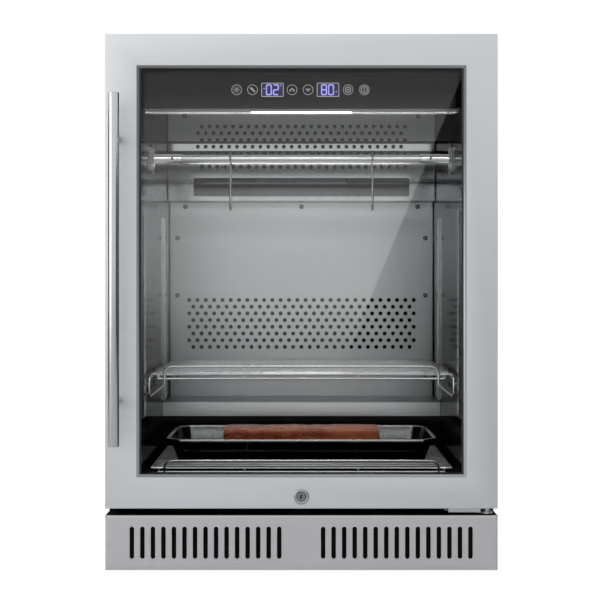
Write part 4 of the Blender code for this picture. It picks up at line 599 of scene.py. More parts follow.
def plinth():
    bm = bmesh.new()
    bend = 0.0022
    radius = SLOT_WIDE / 2
    middle = (PLINTH_CLEAR + PLINTH_TOP) / 2
    straight = SLOT_HIGH / 2 - radius
    side, top, back = HALF - bend, PLINTH_TOP - bend, at(CARCASS_FRONT - SEAT)
    outlines = [rectangle((-side, PLINTH_CLEAR), (side, top))]
    for group in SLOT_GROUPS:
        for index in range(SLOT_COUNT):
            x = group + (index - (SLOT_COUNT - 1) / 2) * SLOT_PITCH
            slot = arc((x, middle + straight), radius, 0, pi, 10)
            outlines.append(slot + arc((x, middle - straight), radius, pi, 2 * pi, 10))
    holed_plate(bm, outlines, at(0), PLINTH_SHEET)
    corner = arc((at(bend), top), bend, QUARTER, 2 * QUARTER, 5)
    bent_sheet(bm, [(back, PLINTH_TOP)] + corner, PLINTH_SHEET, "X", -side, side)
    side_folds(bm, HALF, at(0), back, bend, PLINTH_SHEET, PLINTH_CLEAR, top, 5)
    for x in ((-HALF, -side), (side, HALF)):
        block(bm, x, (at(bend), back), (top, PLINTH_TOP - bend / 3))
    made = piece("plinth_front", bm, "plinth_steel", ("plinth_grille",))

    def on_top_fold(face):
        return abs(face.normal.z) > 0.95 and face.center.y > at(bend) and face.center.z > middle

    # The top fold is black, painted shade in the gap under the door
    mark(made, "shade_black", on_top_fold)
    shade_sheet("plinth_shade_sheet", 0.272, 0.012, 0.076, at(PLINTH_SHEET + SEAT), 0.003)
    bay_shade_sheet()


def bay_shade_sheet():
    """A black strip in the gap between plinth and door, as far as the hinge bracket: painted shade."""
    side_gap, hinge_gap, front = 0.004, 0.001, at(CARCASS_FRONT + SEAT)
    bm = bmesh.new()
    block(bm, (side_gap - HALF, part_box("lower_hinge_bracket")[0].x - hinge_gap), (front, front + SHEET),
          (PLINTH_TOP - PLINTH_SHEET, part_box("front_frame")[0].z - SEAT))
    piece("bay_shade_sheet", bm, "shade_black", smooth=0)


def carcass():
    def long_outer(a, b):
        return (a - b).length > 0.3 and all(abs(abs(end.x) - HALF) < 1e-4 for end in (a, b))

    softened("casing_wrap", "outer_casing", "black_metal", 0.0009, long_outer)


def feet():
    """A rubber pad on a threaded stud, four times."""
    pad, stud, root, stud_low, pitch = 0.018, 0.0050, 0.0043, 0.010, 0.00125
    for name in ("foot_front_left", "foot_front_right", "foot_rear_left", "foot_rear_right"):
        low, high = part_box(name)
        middle = (low + high) / 2
        profile = [(0, 0), (pad - 0.0016, 0), (pad - 0.0004, 0.0005), (pad, 0.0016), (pad, 0.0052)]
        profile += [(pad - 0.0006, 0.0062), (pad - 0.002, 0.0068), (0.0105, 0.0079), (stud, 0.0080),
                    (stud, stud_low)]
        z = stud_low
        while z < high.z - 0.0014:
            profile += [(stud, z), (root, z + 0.0005), (stud, z + 0.0010)]
            z += pitch
        profile += [(stud - 0.0010, high.z), (0, high.z)]
        bm = bmesh.new()
        turned(bm, profile, (middle.x, middle.y, 0), "Z", 32)
        piece(name + "_turned", bm, "rubber", (name,), name)


# Door

RAIL = 0.048


def door():
    def long_front(a, b):
        return (a - b).length > 0.25 and max(a.y, b.y) < at(0.0039)

    made = softened("door_frame", "door_outer_frame", "frame_steel", 0.0009, long_front, 3,
                    "door")

    def on_bevel(face):
        corners = [made.data.vertices[index].co for index in face.vertices]
        insets = [min(HALF - abs(co.x), co.z - DOOR_BOTTOM, HEIGHT - co.z) for co in corners]
        return min(insets) > RAIL - 0.0012 and face.center.y < at(0.012)

    # The inner bevel takes the darker copy of the frame steel, painted shade
    mark(made, "bevel_steel", on_bevel)
    spacer()
    glazing_bead()
    gasket()


def mitred_frame(bm, profile):
    """A frame as large as the door from a profile of (inset from the door's edge, depth) points."""
    corners = ((-1, 0), (1, 0), (1, 1), (-1, 1))
    loft(bm, [[(side * (HALF - inset), at(depth), HEIGHT - inset if top else DOOR_BOTTOM + inset)
               for inset, depth in profile] for side, top in corners], False, True)


def spacer():
    """The aluminium spacer bar between the panes, with its rolled grooves."""
    front, back, inner, outer = 0.0093, 0.0227, 0.0510, 0.0455
    steps, groove = 14, 0.0003
    grooved = [(inner - groove * (index % 2), front + (back - front) * index / steps)
               for index in range(steps + 1)]
    bm = bmesh.new()
    mitred_frame(bm, [(outer, front)] + grooved + [(outer, back)])
    piece("spacer_bar", bm, "black_plastic", ("glass_spacer",), "door")


def glazing_bead():
    """The black bead that holds the front pane, wider at the sides."""
    hidden, side, end = 0.0490, 0.0543, 0.0515
    front, thick, edge = at(0.0041), 0.0007, 0.0002
    outlines = [rectangle((across - HALF, DOOR_BOTTOM + along), (HALF - across, HEIGHT - along))
                for across, along in ((hidden, hidden), (side, end))]
    bm = bmesh.new()
    holed_plate(bm, outlines, front, thick, edge)
    piece("glazing_bead", bm, "rubber", (), "door")


def gasket():
    """A bellows seal with a dart foot: a round magnet bulb on two folds."""
    foot, crown, middle = 0.0383, 0.0444, 0.0190
    bulb = [(0.0050, foot + 0.0021), (0.0044, foot + 0.0028), (0.0053, foot + 0.0034)]
    bulb += [(0.0060, crown - 0.0018), (0.0058, crown - 0.0007), (0.0050, crown)]
    profile = [(0.0090, foot), (0.0270, foot), (0.0270, foot + 0.0014), (0.0262, foot + 0.0019)]
    profile += [(middle + half, depth) for half, depth in bulb]
    profile += [(middle - half, depth) for half, depth in bulb[::-1]]
    profile += [(0.0098, foot + 0.0019), (0.0090, foot + 0.0014)]
    bm = bmesh.new()
    mitred_frame(bm, profile)
    piece("door_seal", bm, "rubber", ("door_gasket",), "door")


HANDLE_X = -0.2785
HANDLE_Y = -0.045
HANDLE_RADIUS = 0.0085
HANDLE_LOW = 0.195
HANDLE_HIGH = 0.720


def handle():
    edge = 0.0009
    flat = HANDLE_RADIUS - edge
    end = [(0, 0), (flat, 0)]
    end += [(flat + edge * sin(a), edge - edge * cos(a)) for a in (0.5, 1.0, QUARTER)]
    length = HANDLE_HIGH - HANDLE_LOW
    bm = bmesh.new()
    turned(bm, end + [(r, length - h) for r, h in end[::-1]], (HANDLE_X, at(HANDLE_Y), HANDLE_LOW), "Z", 56)
    piece("handle_grip", bm, "handle_steel", ("handle_bar",), "door")
    post, collar, stud, front, back = 0.0050, 0.0062, 0.0030, -0.0375, 0.012
    profile = [(0, front), (post, front), (post, -0.0062), (0.0052, -0.0056), (0.0057, -0.0042)]
    profile += [(0.0060, -0.0034), (collar, -0.0028), (collar, -0.0009), (0.0059, -0.0004)]
    profile += [(stud, -SEAT), (stud, back - 0.001), (stud - 0.0008, back), (0, back)]
    for name in ("handle_post_lower", "handle_post_upper"):
        low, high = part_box(name)
        bm = bmesh.new()
        turned(bm, profile, (HANDLE_X, at(0), (low.z + high.z) / 2), "Y", 40)
        piece(name + "_turned", bm, "handle_steel", (name,), "door")


LOCK_Z = 0.1137


def lock():
    rim, bore, body, proud, back = 0.0117, 0.0068, 0.0095, -0.0022, 0.0207
    profile = [(bore, back), (bore, proud + 0.0012), (bore + 0.0006, proud + 0.0005)]
    profile += [(bore + 0.0014, proud + 0.0004), (bore + 0.0020, proud), (rim - 0.0016, proud)]
    profile += [(rim - 0.0006, proud + 0.0003), (rim, proud + 0.0010), (rim, -SEAT)]
    profile += [(body, -SEAT), (body, back), (bore, back)]
    bm = bmesh.new()
    turned(bm, profile, (0, at(0), LOCK_Z), "Y", 48)
    bmesh.ops.remove_doubles(bm, verts=bm.verts, dist=1e-7)
    piece("lock_barrel", bm, "lock_steel", ("lock_housing",), "door")

    def front_rim(a, b):
        at_front = max(a.y, b.y) < at(-0.001) and (a - b).length < 0.004
        return at_front and (a.xz - Vector((0, LOCK_Z))).length > 0.006

    softened("lock_plug", "lock_cylinder", "dark_steel", 0.0003, front_rim, body="lock")


# Back panels

HOLE_STEPS = 14
PANEL_FOLD = 0.0018


def field(rows, count, pitch, step, top, radius, short):
    """Staggered rows of holes. Every other row is a hole short, or half a pitch over."""
    for row in range(rows):
        number = count - 1 if short and row % 2 else count
        shift = 0 if short else (0.25 if row % 2 == 0 else -0.25) * pitch
        for index in range(number):
            x = (index - (number - 1) / 2) * pitch + shift
            yield circle((x, top - row * step), radius, HOLE_STEPS)


def panel(name, node, look, face, low, high, holes, ledge):
    """A panel with folded sides and, where it has a ledge, a fold back to the panel below."""
    half = CAVITY_HALF - SEAT
    side = half - PANEL_FOLD
    start = low + (PANEL_FOLD if ledge else 0.0)
    bm = bmesh.new()
    holed_plate(bm, [rectangle((-side, start), (side, high))] + holes, at(face), SHEET)
    side_folds(bm, half, at(face), at(CAVITY_BACK - SEAT), PANEL_FOLD, SHEET, start, high, 4)
    if ledge:
        bend = arc((at(face) + PANEL_FOLD, low + PANEL_FOLD), PANEL_FOLD, 2 * QUARTER, 3 * QUARTER, 4)
        bent_sheet(bm, bend + [(at(LOWER_PANEL + SHEET), low)], SHEET, "X", -side, side)
    piece(name, bm, look, (node,))


def back_panels():
    holes = list(field(7, 27, 0.0146, 0.0126, 0.7285, 0.0037, False))
    holes.append(rounded((-0.2015, 0.5978), (0.2015, 0.6323), 0.004))
    panel("upper_panel", "upper_back_panel", "upper_panel_steel", UPPER_PANEL, PANEL_SEAM, CAVITY_TOP - SEAT,
          holes, True)
    holes = list(field(8, 28, 0.01577, 0.0127, 0.4038, 0.0039, True))
    panel("lower_panel", "lower_back_panel", "panel_steel", LOWER_PANEL, STEP_TOP + SEAT, PANEL_SEAM - SEAT,
          holes, False)
    behind = SHEET + SEAT
    shade_sheet("upper_shade_sheet", 0.206, 0.643, 0.7435, at(UPPER_PANEL + behind), 0.0025)
    shade_sheet("lower_shade_sheet", 0.224, 0.305, 0.4135, at(LOWER_PANEL + behind), 0.0025)
    panel_screws()
    step_cover()


def panel_screws():
    """Screws on rubber washers."""
    spots = [(x, at(UPPER_PANEL), 0.7475) for x in (-0.218, 0.218)]
    spots += [(x, at(LOWER_PANEL), 0.5805) for x in (-0.220, 0, 0.220)]
    spots += [(x, at(LOWER_PANEL), z) for z in (0.521, 0.4126, 0.262) for x in (-0.235, 0.235)]
    wide, thick = 0.0043, 0.0005
    washer = [(0, 0), (wide, 0), (wide, -0.0003), (wide - 0.0003, -thick), (0, -thick)]
    screws, washers = bmesh.new(), bmesh.new()
    for x, y, z in spots:
        turned(washers, washer, (x, y, z), "Y", 24)
        screw(screws, (x, y - thick, z), "-Y", 0.0029, 0.0011)
    piece("panel_screws", screws, "dark_steel")
    piece("panel_washers", washers, "rubber")


def step_cover():
    """The sheet that covers the step over the compressor: front, fold and top."""
    half = CAVITY_HALF - SEAT * 2
    proud, thick, fold = 0.0012, 0.0008, 0.0015
    front, top = at(STEP_FRONT - proud), STEP_TOP + proud
    corner = arc((front + fold, top - fold), fold, QUARTER, 2 * QUARTER, 5)
    bm = bmesh.new()
    bent_sheet(bm, [(at(LOWER_PANEL - SEAT), top)] + corner + [(front, PAINTED_SHADE_TOP)], thick, "X", -half, half)
    # The front is a lighter copy of the panel steel, painted light; the top is a darker copy, painted shade
    made = piece("step_sheet", bm, "step_front")
    mark(made, "step_top", lambda face: face.normal.z > 0.8)


# Wires

SHELF_FRONT = 0.100
CROSS_RADIUS = 0.0018
LONG_RADIUS = 0.0017
FRAME_RADIUS = 0.0020
WELD = 0.0004


def shelf(node, look, height, guard, back, wires, leg_low, rear_legs):
    """Wires across, wires to the back under them, a frame under those, and bent legs with a guard."""
    half, rail, leg = 0.240, 0.2294, 0.2175
    bm = bmesh.new()
    for index in range(wires):
        y = at(SHELF_FRONT + (back - SHELF_FRONT) * index / (wires - 1))
        sweep(bm, [(-half, y, height), (half, y, height)], CROSS_RADIUS, 10)
    long_z = height - CROSS_RADIUS - LONG_RADIUS + WELD
    rail_z = long_z - LONG_RADIUS - FRAME_RADIUS + WELD
    for x in (-0.2274, -0.0905, 0.0905, 0.2274):
        sweep(bm, [(x, at(SHELF_FRONT - 0.002), long_z), (x, at(back + 0.002), long_z)], LONG_RADIUS, 10)
    for depth in (SHELF_FRONT, back):
        sweep(bm, [(-rail, at(depth), rail_z), (rail, at(depth), rail_z)], FRAME_RADIUS)
    reach = FRAME_RADIUS * 2 - 0.0006
    guards = [(SHELF_FRONT - reach, height + guard)]
    if rear_legs:
        guards.append((back + reach, rail_z + FRAME_RADIUS))
    for depth, top in guards:
        bend = min(0.012, top - leg_low - 0.0005)
        right = [(leg, leg_low)] + arc((leg - bend, top - bend), bend, 0, QUARTER, 8)
        outline = right + [(-x, z) for x, z in right[::-1]]
        sweep(bm, [(x, at(depth), z) for x, z in outline], FRAME_RADIUS)
    made = piece(node + "_wires", bm, look, (node,), node)
    # The front wires keep the bright wire; on the lower shelf the wires behind them take the darker copy,
    # painted shade
    mark(made, "wire_bright", lambda face: face.center.y < at(SHELF_FRONT + FRAME_RADIUS))


def runners():
    """On each wall a closed loop of wire, a wire on to the back, and two stubs to the wall."""
    front, brace, rear, top, low = at(0.084), at(0.322), at(0.403), 0.2899, 0.2559
    wire, stub, stub_reach = 0.002, 0.0018, CAVITY_HALF - SEAT * 2 - 0.003
    for side, sign in SIDES:
        bm = bmesh.new()
        x = sign * 0.2405
        loop = rounded((front + wire, low + wire), (brace - wire, top - wire), 0.008)
        sweep(bm, [(x, y, z) for y, z in loop], wire, closed=True)
        sweep(bm, [(x, brace - 0.012, top - wire), (x, rear, top - wire)], wire)
        for y, z in ((front + wire, top - 0.012), (rear - wire, top - wire)):
            sweep(bm, [(x - sign * 0.001, y, z), (sign * stub_reach, y, z)], stub, 10)
        piece(f"runner_wire_{side}", bm, "bright_steel", (f"shelf_runner_{side}",))


ROD_Z = 0.6436
ROD_DEPTH = 0.2006
ROD_RADIUS = 0.0067


def rod():
    bm = bmesh.new()
    half, edge = CAVITY_HALF - SEAT * 2 - 0.004, 0.0006
    flat = ROD_RADIUS - edge
    profile = [(0, -half), (flat, -half), (ROD_RADIUS, edge - half), (ROD_RADIUS, half - edge)]
    turned(bm, profile + [(flat, half), (0, half)], (0, at(ROD_DEPTH), ROD_Z), "X", 48)
    piece("rod_bar", bm, "bright_rod", ("hanging_rod",))


def rod_sockets():
    """At each wall a flange with two screws, and a sleeve with a set screw."""
    depth = at(ROD_DEPTH)
    wall = CAVITY_HALF - SEAT
    face, inner, bore, sleeve = wall - 0.004, 0.197, ROD_RADIUS + SEAT, 0.0079
    wide, high, edge = 0.011, 0.026, 0.0007
    screw_offset, set_screw = 0.019, 0.2145
    profile = [(bore, face), (bore, inner), (sleeve - 0.0006, inner), (sleeve, inner + 0.0006)]
    profile += [(sleeve, face - 0.0012), (sleeve + 0.0005, face - 0.0004), (sleeve + 0.0014, face)]
    outline = rounded((depth - wide, ROD_Z - high), (depth + wide, ROD_Z + high), 0.010, 8)
    centre = Vector((depth, ROD_Z))
    shrunk = [centre + (Vector(point) - centre) * (1 - edge / wide) for point in outline]
    for side, sign in SIDES:
        bm = bmesh.new()
        turned(bm, [(r, sign * h) for r, h in profile], (0, depth, ROD_Z), "X", 48)
        loft(bm, [[(sign * x, y, z) for y, z in shape]
                  for shape, x in ((outline, wall), (outline, face + edge), (shrunk, face))])
        piece(f"rod_flange_{side}", bm, "bright_steel", (f"rod_socket_{side}",))
        bm = bmesh.new()
        for z in (ROD_Z - screw_offset, ROD_Z + screw_offset):
            screw(bm, (sign * face, depth, z), "-X" if sign > 0 else "+X", 0.0030, 0.0012)
        screw(bm, (sign * set_screw, depth - sleeve + 0.0002, ROD_Z), "-Y", 0.0024, 0.0009, False)
        piece(f"rod_screws_{side}", bm, "dark_steel")


def hooks():
    """Each hook is a loop round the rod, a straight stretch and a bend at its foot."""
    wire, bend, length, spread = 0.0018, 0.010, 0.0866, 0.118
    loop = ROD_RADIUS + SEAT + wire
    drop = length - bend - wire
    lean = asin((loop + bend) / drop)
    path = arc((0, 0), loop, radians(205), -lean, 20)
    path += arc((0, -drop), bend, pi - lean, radians(350), 20)
    for side, sign in SIDES:
        bm = bmesh.new()
        sweep(bm, [(sign * spread, at(ROD_DEPTH) + y, ROD_Z + z) for y, z in path], wire, 14)
        piece(f"hook_wire_{side}", bm, "dark_steel", (f"hook_{side}",), f"{side}_hook")


# Salt tray and salt

TRAY_LOW = 0.14497
TRAY_HIGH = 0.0385
TRAY_HALF = 0.222
TRAY_FRONT = 0.140
TRAY_BACK = 0.356


def tray_outline(shrink):
    """A rectangle with cut and softened corners, as pressed trays have."""
    low, high, half = at(TRAY_FRONT) + shrink, at(TRAY_BACK) - shrink, TRAY_HALF - shrink
    cut, soft = 0.022 - shrink / 2, 0.005
    reach = 2 * soft * tan(pi / 8)
    right = [(half - cut, low), (half, low + cut), (half, high - cut), (half - cut, high)]
    outline = [Vector(point) for point in right + [(-x, y) for x, y in right[::-1]]]
    smooth = []
    for before, point, after in zip(outline[-1:] + outline, outline, outline[1:] + outline[:1]):
        start = point + (before - point).normalized() * reach
        end = point + (after - point).normalized() * reach
        smooth += [start.lerp(point, share).lerp(point.lerp(end, share), share)
                   for share in (0, 0.25, 0.5, 0.75, 1)]
    return smooth


def tray():
    """A pressed tray: up its outside, over the rolled rim and down its inside."""
    low, top = TRAY_LOW, TRAY_LOW + TRAY_HIGH
    rim, wall, lip = 0.006, 0.0012, 0.0042
    foot = rim + 0.014
    levels = [(foot + 0.0015, low), (foot, low + 0.0006), (foot - 0.0008, low + 0.0018)]
    levels += [(rim + 0.0012, top - 0.0036), (rim, top - wall - 0.0008), (rim - 0.0010, top - wall)]
    levels += [(wall, top - wall), (wall, top - lip), (0.0004, top - lip - 0.0002), (0, top - lip + 0.0003)]
    levels += [(0, top - 0.0010), (0.0003, top - 0.0003), (0.0010, top), (rim - 0.0004, top)]
    levels += [(rim + 0.0006, top - 0.0004), (rim + wall, top - 0.0018)]
    foot, low = foot + wall, low + wall
    levels += [(foot - 0.0014, low + 0.0030), (foot - 0.0004, low + 0.0010), (foot + 0.0012, low)]
    bm = bmesh.new()
    loft(bm, [[(x, y, z) for x, y in tray_outline(shrink)] for shrink, z in levels])
    made = piece("drip_tray", bm, "tray_steel", ("salt_tray",), "tray", 60)
    middle = Vector((0, at((TRAY_FRONT + TRAY_BACK) / 2)))

    def outside(face):
        outward = face.normal.xy.dot(face.center.xy - middle) > 0
        return face.center.z < top - lip and outward and face.normal.z < 0.5

    def bright(face):
        bottom_edge = face.center.z < TRAY_LOW + 0.0018 and face.normal.y < -0.2
        on_rim = face.center.z > top - 0.0009 or face.normal.y < -0.5
        return bottom_edge or (face.center.z > top - lip and on_rim)

    # The outside takes the darker copy, painted shade
    mark(made, "tray_outside", outside)
    # The rim and the bottom front edge take the lighter copy, a painted highlight
    mark(made, "tray_rim", bright)


def salt():
    """A block of rock salt whose faces are worn by a sum of random waves."""
    low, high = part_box("salt_block")
    size = high - low
    middle = (low + high) / 2
    bm = bmesh.new()
    bmesh.ops.create_cube(bm, size=1.0)
    bm.transform(Matrix.Translation(middle) @ Matrix.Diagonal((*(size * 0.988), 1)))
    bmesh.ops.bevel(bm, geom=bm.edges[:], offset=0.004, segments=3, profile=0.6, affect="EDGES")
    for length, cuts in ((0.05, 40), (0.02, 12)):
        long_edges = [edge for edge in bm.edges if edge.calc_length() > length]
        bmesh.ops.subdivide_edges(bm, edges=long_edges, cuts=cuts, use_grid_fill=True)
    least, most, mean, swing = -0.0004, 0.0016, 0.0007, 0.00035
    rng = random.Random(7)
    waves = [(Vector([rng.uniform(-1, 1) for _ in range(3)]).normalized() * rng.uniform(40, 420),
              rng.uniform(0, 6.28), rng.uniform(0.2, 1.0)) for _ in range(26)]
    for vert in bm.verts:
        shift = sum(sin(wave.dot(vert.co) + phase) * weight / (1 + wave.length / 120)
                    for wave, phase, weight in waves)
        out = Vector([(c - m) / s for c, m, s in zip(vert.co, middle, size)]).normalized()
        vert.co -= out * max(least, min(most, mean + swing * shift))
    for vert in bm.verts:
        vert.co = Vector([max(l, min(h, c)) for c, l, h in zip(vert.co, low, high)])
    bmesh.ops.triangulate(bm, faces=bm.faces)
    piece("salt_brick", bm, "salt", ("salt_block",), "salt", 50)


# Controls

FASCIA_Y = at(CARCASS_FRONT)
ICON_Z = 0.7364
RING = 0.0076
LINE = 0.00045
INK = 0.00012
FIELDS = {"ray": -0.1003, "tube": -0.0757, "up": -0.0145, "down": 0.0103, "lamp": 0.0722, "power": 0.0973}


def ink(bm, *outlines):
    """A print on the fascia. Its outlines hold (x, height above the icons' middle) points."""
    holed_plate(bm, [[(x, ICON_Z + z) for x, z in outline] for outline in outlines], FASCIA_Y - INK, INK)


def ring(bm, x, radius, line=LINE, steps=40, z=0.0):
    ink(bm, circle((x, z), radius + line, steps), circle((x, z), radius - line, steps))


def bar(bm, start, end, half):
    """A straight stroke with round ends."""
    angle = atan2(end[1] - start[1], end[0] - start[0])
    tip = arc(end, half, angle - QUARTER, angle + QUARTER, 5)
    ink(bm, tip + arc(start, half, angle + QUARTER, angle + 3 * QUARTER, 5))


SEGMENTS = {"0": "abcdef", "2": "abdeg", "8": "abcdefg"}


def digit(bm, x, figure):
    """One seven-segment figure."""
    right, top, half = 0.0037, 0.0075, 0.0010
    gap = half * 1.1
    level = ((gap - right, 0), (right - gap, 0))
    upright = ((0, gap), (0, top - gap))
    places = {"a": (level, 0, top), "g": (level, 0, 0), "d": (level, 0, -top), "b": (upright, right, 0),
              "c": (upright, right, -top), "f": (upright, -right, 0), "e": (upright, -right, -top)}
    for name in SEGMENTS[figure]:
        stroke, across, up = places[name]
        bar(bm, *((x + across + dx, up + dz) for dx, dz in stroke), half)


def icons():
    bm = bmesh.new()
    for x in FIELDS.values():
        ring(bm, x, RING)
    x = FIELDS["ray"]
    for index in range(8):
        ray = Vector((cos(index * pi / 4), sin(index * pi / 4)))
        bar(bm, *(Vector((x, 0)) + ray * reach for reach in (0.0033, 0.0049)), 0.0004)
    ring(bm, x, 0.0017, 0.0005, 20)
    x = FIELDS["tube"]
    bar(bm, (x - 0.0022, 0.0024), (x + 0.0002, 0.0003), 0.0016)
    bar(bm, (x + 0.0008, -0.0004), (x + 0.0030, -0.0026), 0.0013)
    x = FIELDS["up"]
    for sign in (-1, 1):
        bar(bm, (x, 0.0022), (x + sign * 0.0034, -0.0014), 0.0008)
        bar(bm, (x + sign * 0.0030, -0.0018), (x + sign * 0.0018, -0.0018), 0.0006)
    x = FIELDS["down"]
    ink(bm, [(x - 0.0042, 0.0016), (x, -0.0030), (x + 0.0042, 0.0016)],
        [(x - 0.0016, 0.0006), (x, -0.0012), (x + 0.0016, 0.0006)])
    x = FIELDS["lamp"]
    ring(bm, x, 0.0041, 0.0007)
    ink(bm, [(x - 0.0017, 0), (x, -0.0017), (x + 0.0017, 0), (x, 0.0017)])
    x = FIELDS["power"]
    ring(bm, x, 0.0049, 0.0006)
    bar(bm, (x, -0.0027), (x, 0.0027), 0.0006)
    piece("control_print", bm, "print")


def displays():
    bm = bmesh.new()
    for node in ("temperature_display", "humidity_display"):
        low, high = (corner - Vector((0, 0, ICON_Z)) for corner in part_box(node))
        ink(bm, *(rounded((low.x + inset, low.z + inset), (high.x - inset, high.z - inset), radius)
                  for inset, radius in ((0.0001, 0.0012), (0.0009, 0.0006))))
    piece("display_rims", bm, "display_rim")
    pitch = 0.0109
    bm = bmesh.new()
    for figures, x in (("02", -0.0504), ("80", 0.0349)):
        for index, figure in enumerate(figures):
            digit(bm, x + index * pitch, figure)
    ring(bm, -0.0323, 0.0009, 0.0003, 16, 0.0070)
    bar(bm, (-0.0582, 0.0022), (-0.0570, 0.0022), 0.0006)
    bar(bm, (0.0535, -0.0032), (0.0543, -0.0022), 0.0006)
    piece("display_figures", bm, "digit")


def header():
    """The steel underside of the control housing, with the lamp's window."""
    low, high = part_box("control_housing")
    led_low, led_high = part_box("led_lamp")
    gap, thick, window_front = 0.001, 0.0009, led_low.y + 0.014
    edge = rectangle(low, high)
    window = rectangle((led_low.x - gap, window_front), (led_high.x + gap, led_high.y + gap))
    upper, lower = low.z - SEAT, low.z - SEAT - thick
    bm = bmesh.new()
    loft(bm, [[(x, y, z) for x, y in shape]
              for shape, z in ((edge, upper), (window, upper), (window, lower), (edge, lower))], False, True)
    piece("header_underside", bm, "underside")


# Camera, stage and light

EYE = (0.0, at(-2.0), 0.4436)
# What the camera sees of the floor: the share of its glow, and how bright that is
FLOOR_SHARE = 0.93
FLOOR_GLOW = 1.08
# How bright the white room is for the light that it gives
ROOM_LIGHT = 0.55


def make_camera():
    data = bpy.data.cameras.new("camera")
    data.sensor_width = 36.0
    data.lens = 79.2
    data.shift_x = -0.0024
    data.shift_y = -0.035
    camera = add_object("camera", data)
    camera.location = EYE
    camera.rotation_euler = (QUARTER, 0.0, 0.0)
    bpy.context.scene.camera = camera


def hide_from(obj, *kinds):
    for kind in kinds:
        setattr(obj, f"visible_{kind}", False)


def stage_sheet(name, corners, material, *hidden):
    mesh = bpy.data.meshes.new(name)
    mesh.from_pydata(corners, [], [(0, 1, 2, 3)])
    mesh.materials.append(material)
    made = add_object(name, mesh)
    hide_from(made, *hidden)


def floor():
    """A floor that the camera sees as white, with a faint trace of its shadows."""
    look = Look("floor", (0.92, 0.92, 0.92), 0.9)
    seen = look.maths("MULTIPLY", look.add("LightPath")["Is Camera Ray"], FLOOR_SHARE)
    glow = look.add("Emission", {"Strength": FLOOR_GLOW})["Emission"]
    material = look.surface(seen, look.shader.outputs["BSDF"], glow)
    size = 6.0
    stage_sheet("floor", [(x, y, 0) for x, y in rectangle((-size, -size), (size, size))], material)


def world():
    """A white room, dimmer for the light that it gives than for what the eye and the mirrors see."""
    made = bpy.data.worlds.new("world")
    bpy.context.scene.world = made
    made.use_nodes = True
    nodes = Nodes(made.node_tree)
    path = nodes.add("LightPath")
    mirrored = nodes.maths("MAXIMUM", path["Is Glossy Ray"], path["Is Transmission Ray"])
    shown = nodes.maths("MAXIMUM", path["Is Camera Ray"], mirrored)
    strength = nodes.spread(shown, ROOM_LIGHT, 1.0, 0.0, 1.0)
    nodes.feed(made.node_tree.nodes["Background"], {"Color": (1, 1, 1), "Strength": strength})


# Heights on the flag behind the camera, and how bright its reflection and its view from inside are there
FLAG_SPAN = 4.0
VEIL_LEVELS = ((0.0, 0.0), (0.12, 0.08), (0.28, 0.40), (0.40, 0.78), (0.67, 0.85), (0.73, 0.46), (0.95, 0.40),
               (1.05, 0.24))
ROOM_LEVELS = ((0.0, 0.48), (0.10, 0.70), (0.30, 1.0), (0.846, 1.0), (0.852, 0.0), (0.905, 0.0), (0.911, 1.0),
               (0.99, 1.0), (1.00, 0.2), (1.16, 0.2), (1.18, 1.0), (4.0, 1.0))
# The slanting edge of the reflection: its slope, and where it would meet the floor
VEIL_SLANT = 0.4113
VEIL_EDGE = 0.5247 - VEIL_SLANT * 1.1117
# Rays that come out of the cabinet have passed more faces of glass than this
INSIDE_DEPTH = 6.5


def flag_look():
    """Black studio flags. Only mirror-like reflections and what the cabinet's inside sees show them.

    The window's own reflection is pale up to a slanting edge. The inside sees a bright level band.
    """
    look = Look("flag", (0, 0, 0), 1.0)
    path = look.add("LightPath")
    inside = look.maths("GREATER_THAN", path["Transmission Depth"], INSIDE_DEPTH)
    shown = look.maths("MAXIMUM", inside, path["Is Singular Ray"])
    z = look.part(look.place, "Z")
    height = look.maths("DIVIDE", z, FLAG_SPAN)
    veil, room = (look.ramp(height, [(z / FLAG_SPAN, (level, level, level)) for z, level in levels])
                  for levels in (VEIL_LEVELS, ROOM_LEVELS))
    edge = look.maths("MULTIPLY_ADD", z, VEIL_SLANT, VEIL_EDGE)
    veil = look.maths("MULTIPLY", veil, look.maths("LESS_THAN", look.part(look.place, "X"), edge))
    colour = look.add("Mix", {"Factor": inside, "A": veil, "B": room}, data_type="FLOAT")["Result"]
    glow = look.add("Emission", {"Color": colour})["Emission"]
    return look.surface(shown, look.add("BsdfTransparent")["BSDF"], glow)


def flags():
    material = flag_look()
    side, back, near, above_floor = 4.0, at(-2.25), at(-0.06), 0.001
    upright = [(x, back, z) for x, z in rectangle((-side, 0), (side, FLAG_SPAN))]
    level = [(x, y, above_floor) for x, y in rectangle((-side, back), (side, near))]
    for name, corners in (("flag_back", upright), ("flag_low", level)):
        stage_sheet(name, corners, material, "camera", "diffuse", "volume_scatter", "shadow")


def cards():
    """Two dark cards beside the cabinet, which give the round handle its dark flanks."""
    material = Look("card", (0.01, 0.01, 0.01), 1.0).material
    low, high = 0.02, 1.0
    for name, x, near, far in (("card_right", 1.3, -1.1, 0.3), ("card_left", -1.3, -0.2, 0.5)):
        corners = [(x, y, z) for y, z in rectangle((at(near), low), (at(far), high))]
        stage_sheet(name, corners, material, "camera", "diffuse", "transmission", "volume_scatter", "shadow")


def area(name, place, target, size, power, *hidden):
    data = bpy.data.lights.new(name, "AREA")
    data.shape = "RECTANGLE"
    data.size, data.size_y = size
    data.energy = power
    lamp = add_object(name, data)
    lamp.location = place
    lamp.rotation_euler = (Vector(target) - Vector(place)).to_track_quat("-Z", "Y").to_euler()
    hide_from(lamp, *hidden)


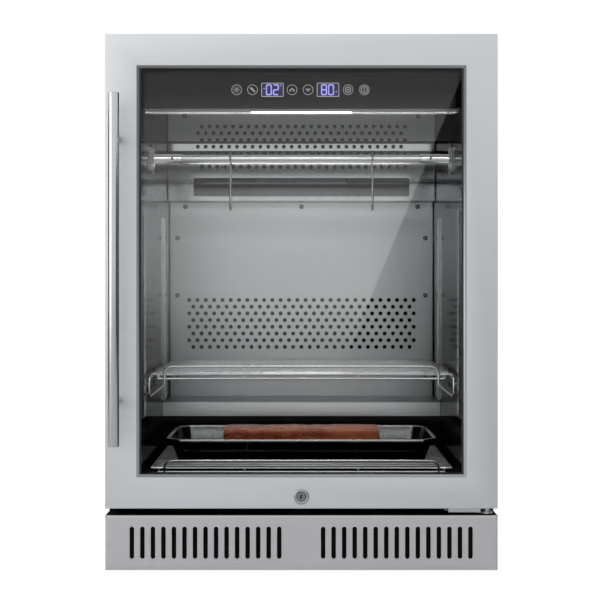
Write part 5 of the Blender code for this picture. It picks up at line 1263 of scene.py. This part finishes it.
def lights():
    """Two lamps in front, and lamps inside that stay out of sight."""
    unseen, soft = ("camera", "transmission"), ("glossy", "camera")
    area("key", (-0.4, at(-2.4), 3.0), (0, 0, 0.45), (3.0, 1.8), 5)
    area("fill", (-2.2, at(-1.4), 0.9), (0, 0, 0.4), (1.8, 1.8), 17)
    area("shelf_lamp", (0, at(0.030), 0.700), (0, at(0.10), 0.30), (0.48, 0.02), 0.30, *unseen)
    area("cavity_lamp", (0, at(0.080), 0.704), (0, at(0.30), 0.30), (0.40, 0.04), 1.1, *soft)
    area("cavity_fill", (0, at(0.060), 0.50), (0, at(0.50), 0.42), (0.42, 0.30), 1.0, *soft)
    area("cavity_bounce", (0, at(0.22), 0.30), (0, at(0.10), 0.75), (0.36, 0.16), 0.18, *unseen)
    area("ceiling", (0, at(0.29), 0.759), (0, at(0.29), 0.5), (0.49, 0.34), 0.14, *unseen)
    area("rod_lamp", (0, at(0.100), 0.7045), (0, at(ROD_DEPTH), ROD_Z), (0.48, 0.018), 0.085, *unseen)
    area("panel_band", (0, at(0.400), 0.6963), (0, at(0.5), 0.6963), (0.494, 0.0135), 0.0165, *unseen)


# CAD nodes that are shown as they are, by look
CAD_LOOKS = {
    "frame_steel": ("lower_hinge_bracket",),
    "liner": ("inner_liner",),
    "pilaster_steel": ("pilaster_front_left", "pilaster_front_right", "pilaster_rear_left",
                       "pilaster_rear_right"),
    "vane_steel": ("air_deflector",),
    "black_metal": ("machine_cover", "upper_hinge_bracket", "control_housing"),
    # The lock keeper is black, painted shade in the gap under the door
    "shade_black": ("lock_keeper",),
    "bitumen": ("compressor",),
    "zinc": ("base_chassis",),
    "fin": ("evaporator_coil",),
    "copper": ("condenser_coil",),
    "black_plastic": ("front_frame", "door_inner_frame", "mains_inlet", "hinge_bush_lower",
                      "hinge_bush_upper", "evaporator_fan_shroud", "evaporator_fan", "condenser_fan_shroud",
                      "condenser_fan", "drip_pan"),
    "gloss_black": ("control_fascia",),
    "display": ("temperature_display", "humidity_display"),
    "led": ("led_lamp",),
    "uv_tube": ("uv_lamp",),
    "clear_glass": ("outer_glass", "inner_glass"),
    "foam": ("insulation",),
}


def dress_nodes():
    for look, names in CAD_LOOKS.items():
        for name in names:
            mesh = NODES[name].data
            mesh.materials.clear()
            mesh.materials.append(LOOKS[look])


make_camera()
dress_nodes()
plinth()
carcass()
feet()
door()
handle()
lock()
back_panels()
shelf("middle_shelf", "wire_bright", 0.2915, 0.0133, 0.452, 17, 0.276, False)
shelf("lower_shelf", "wire_dull", 0.1434, 0.0117, 0.364, 13, CAVITY_FLOOR + SEAT, True)
runners()
rod()
rod_sockets()
hooks()
tray()
salt()
icons()
displays()
header()
floor()
world()
flags()
cards()
lights()
bpy.context.scene.view_settings.view_transform = "Standard"
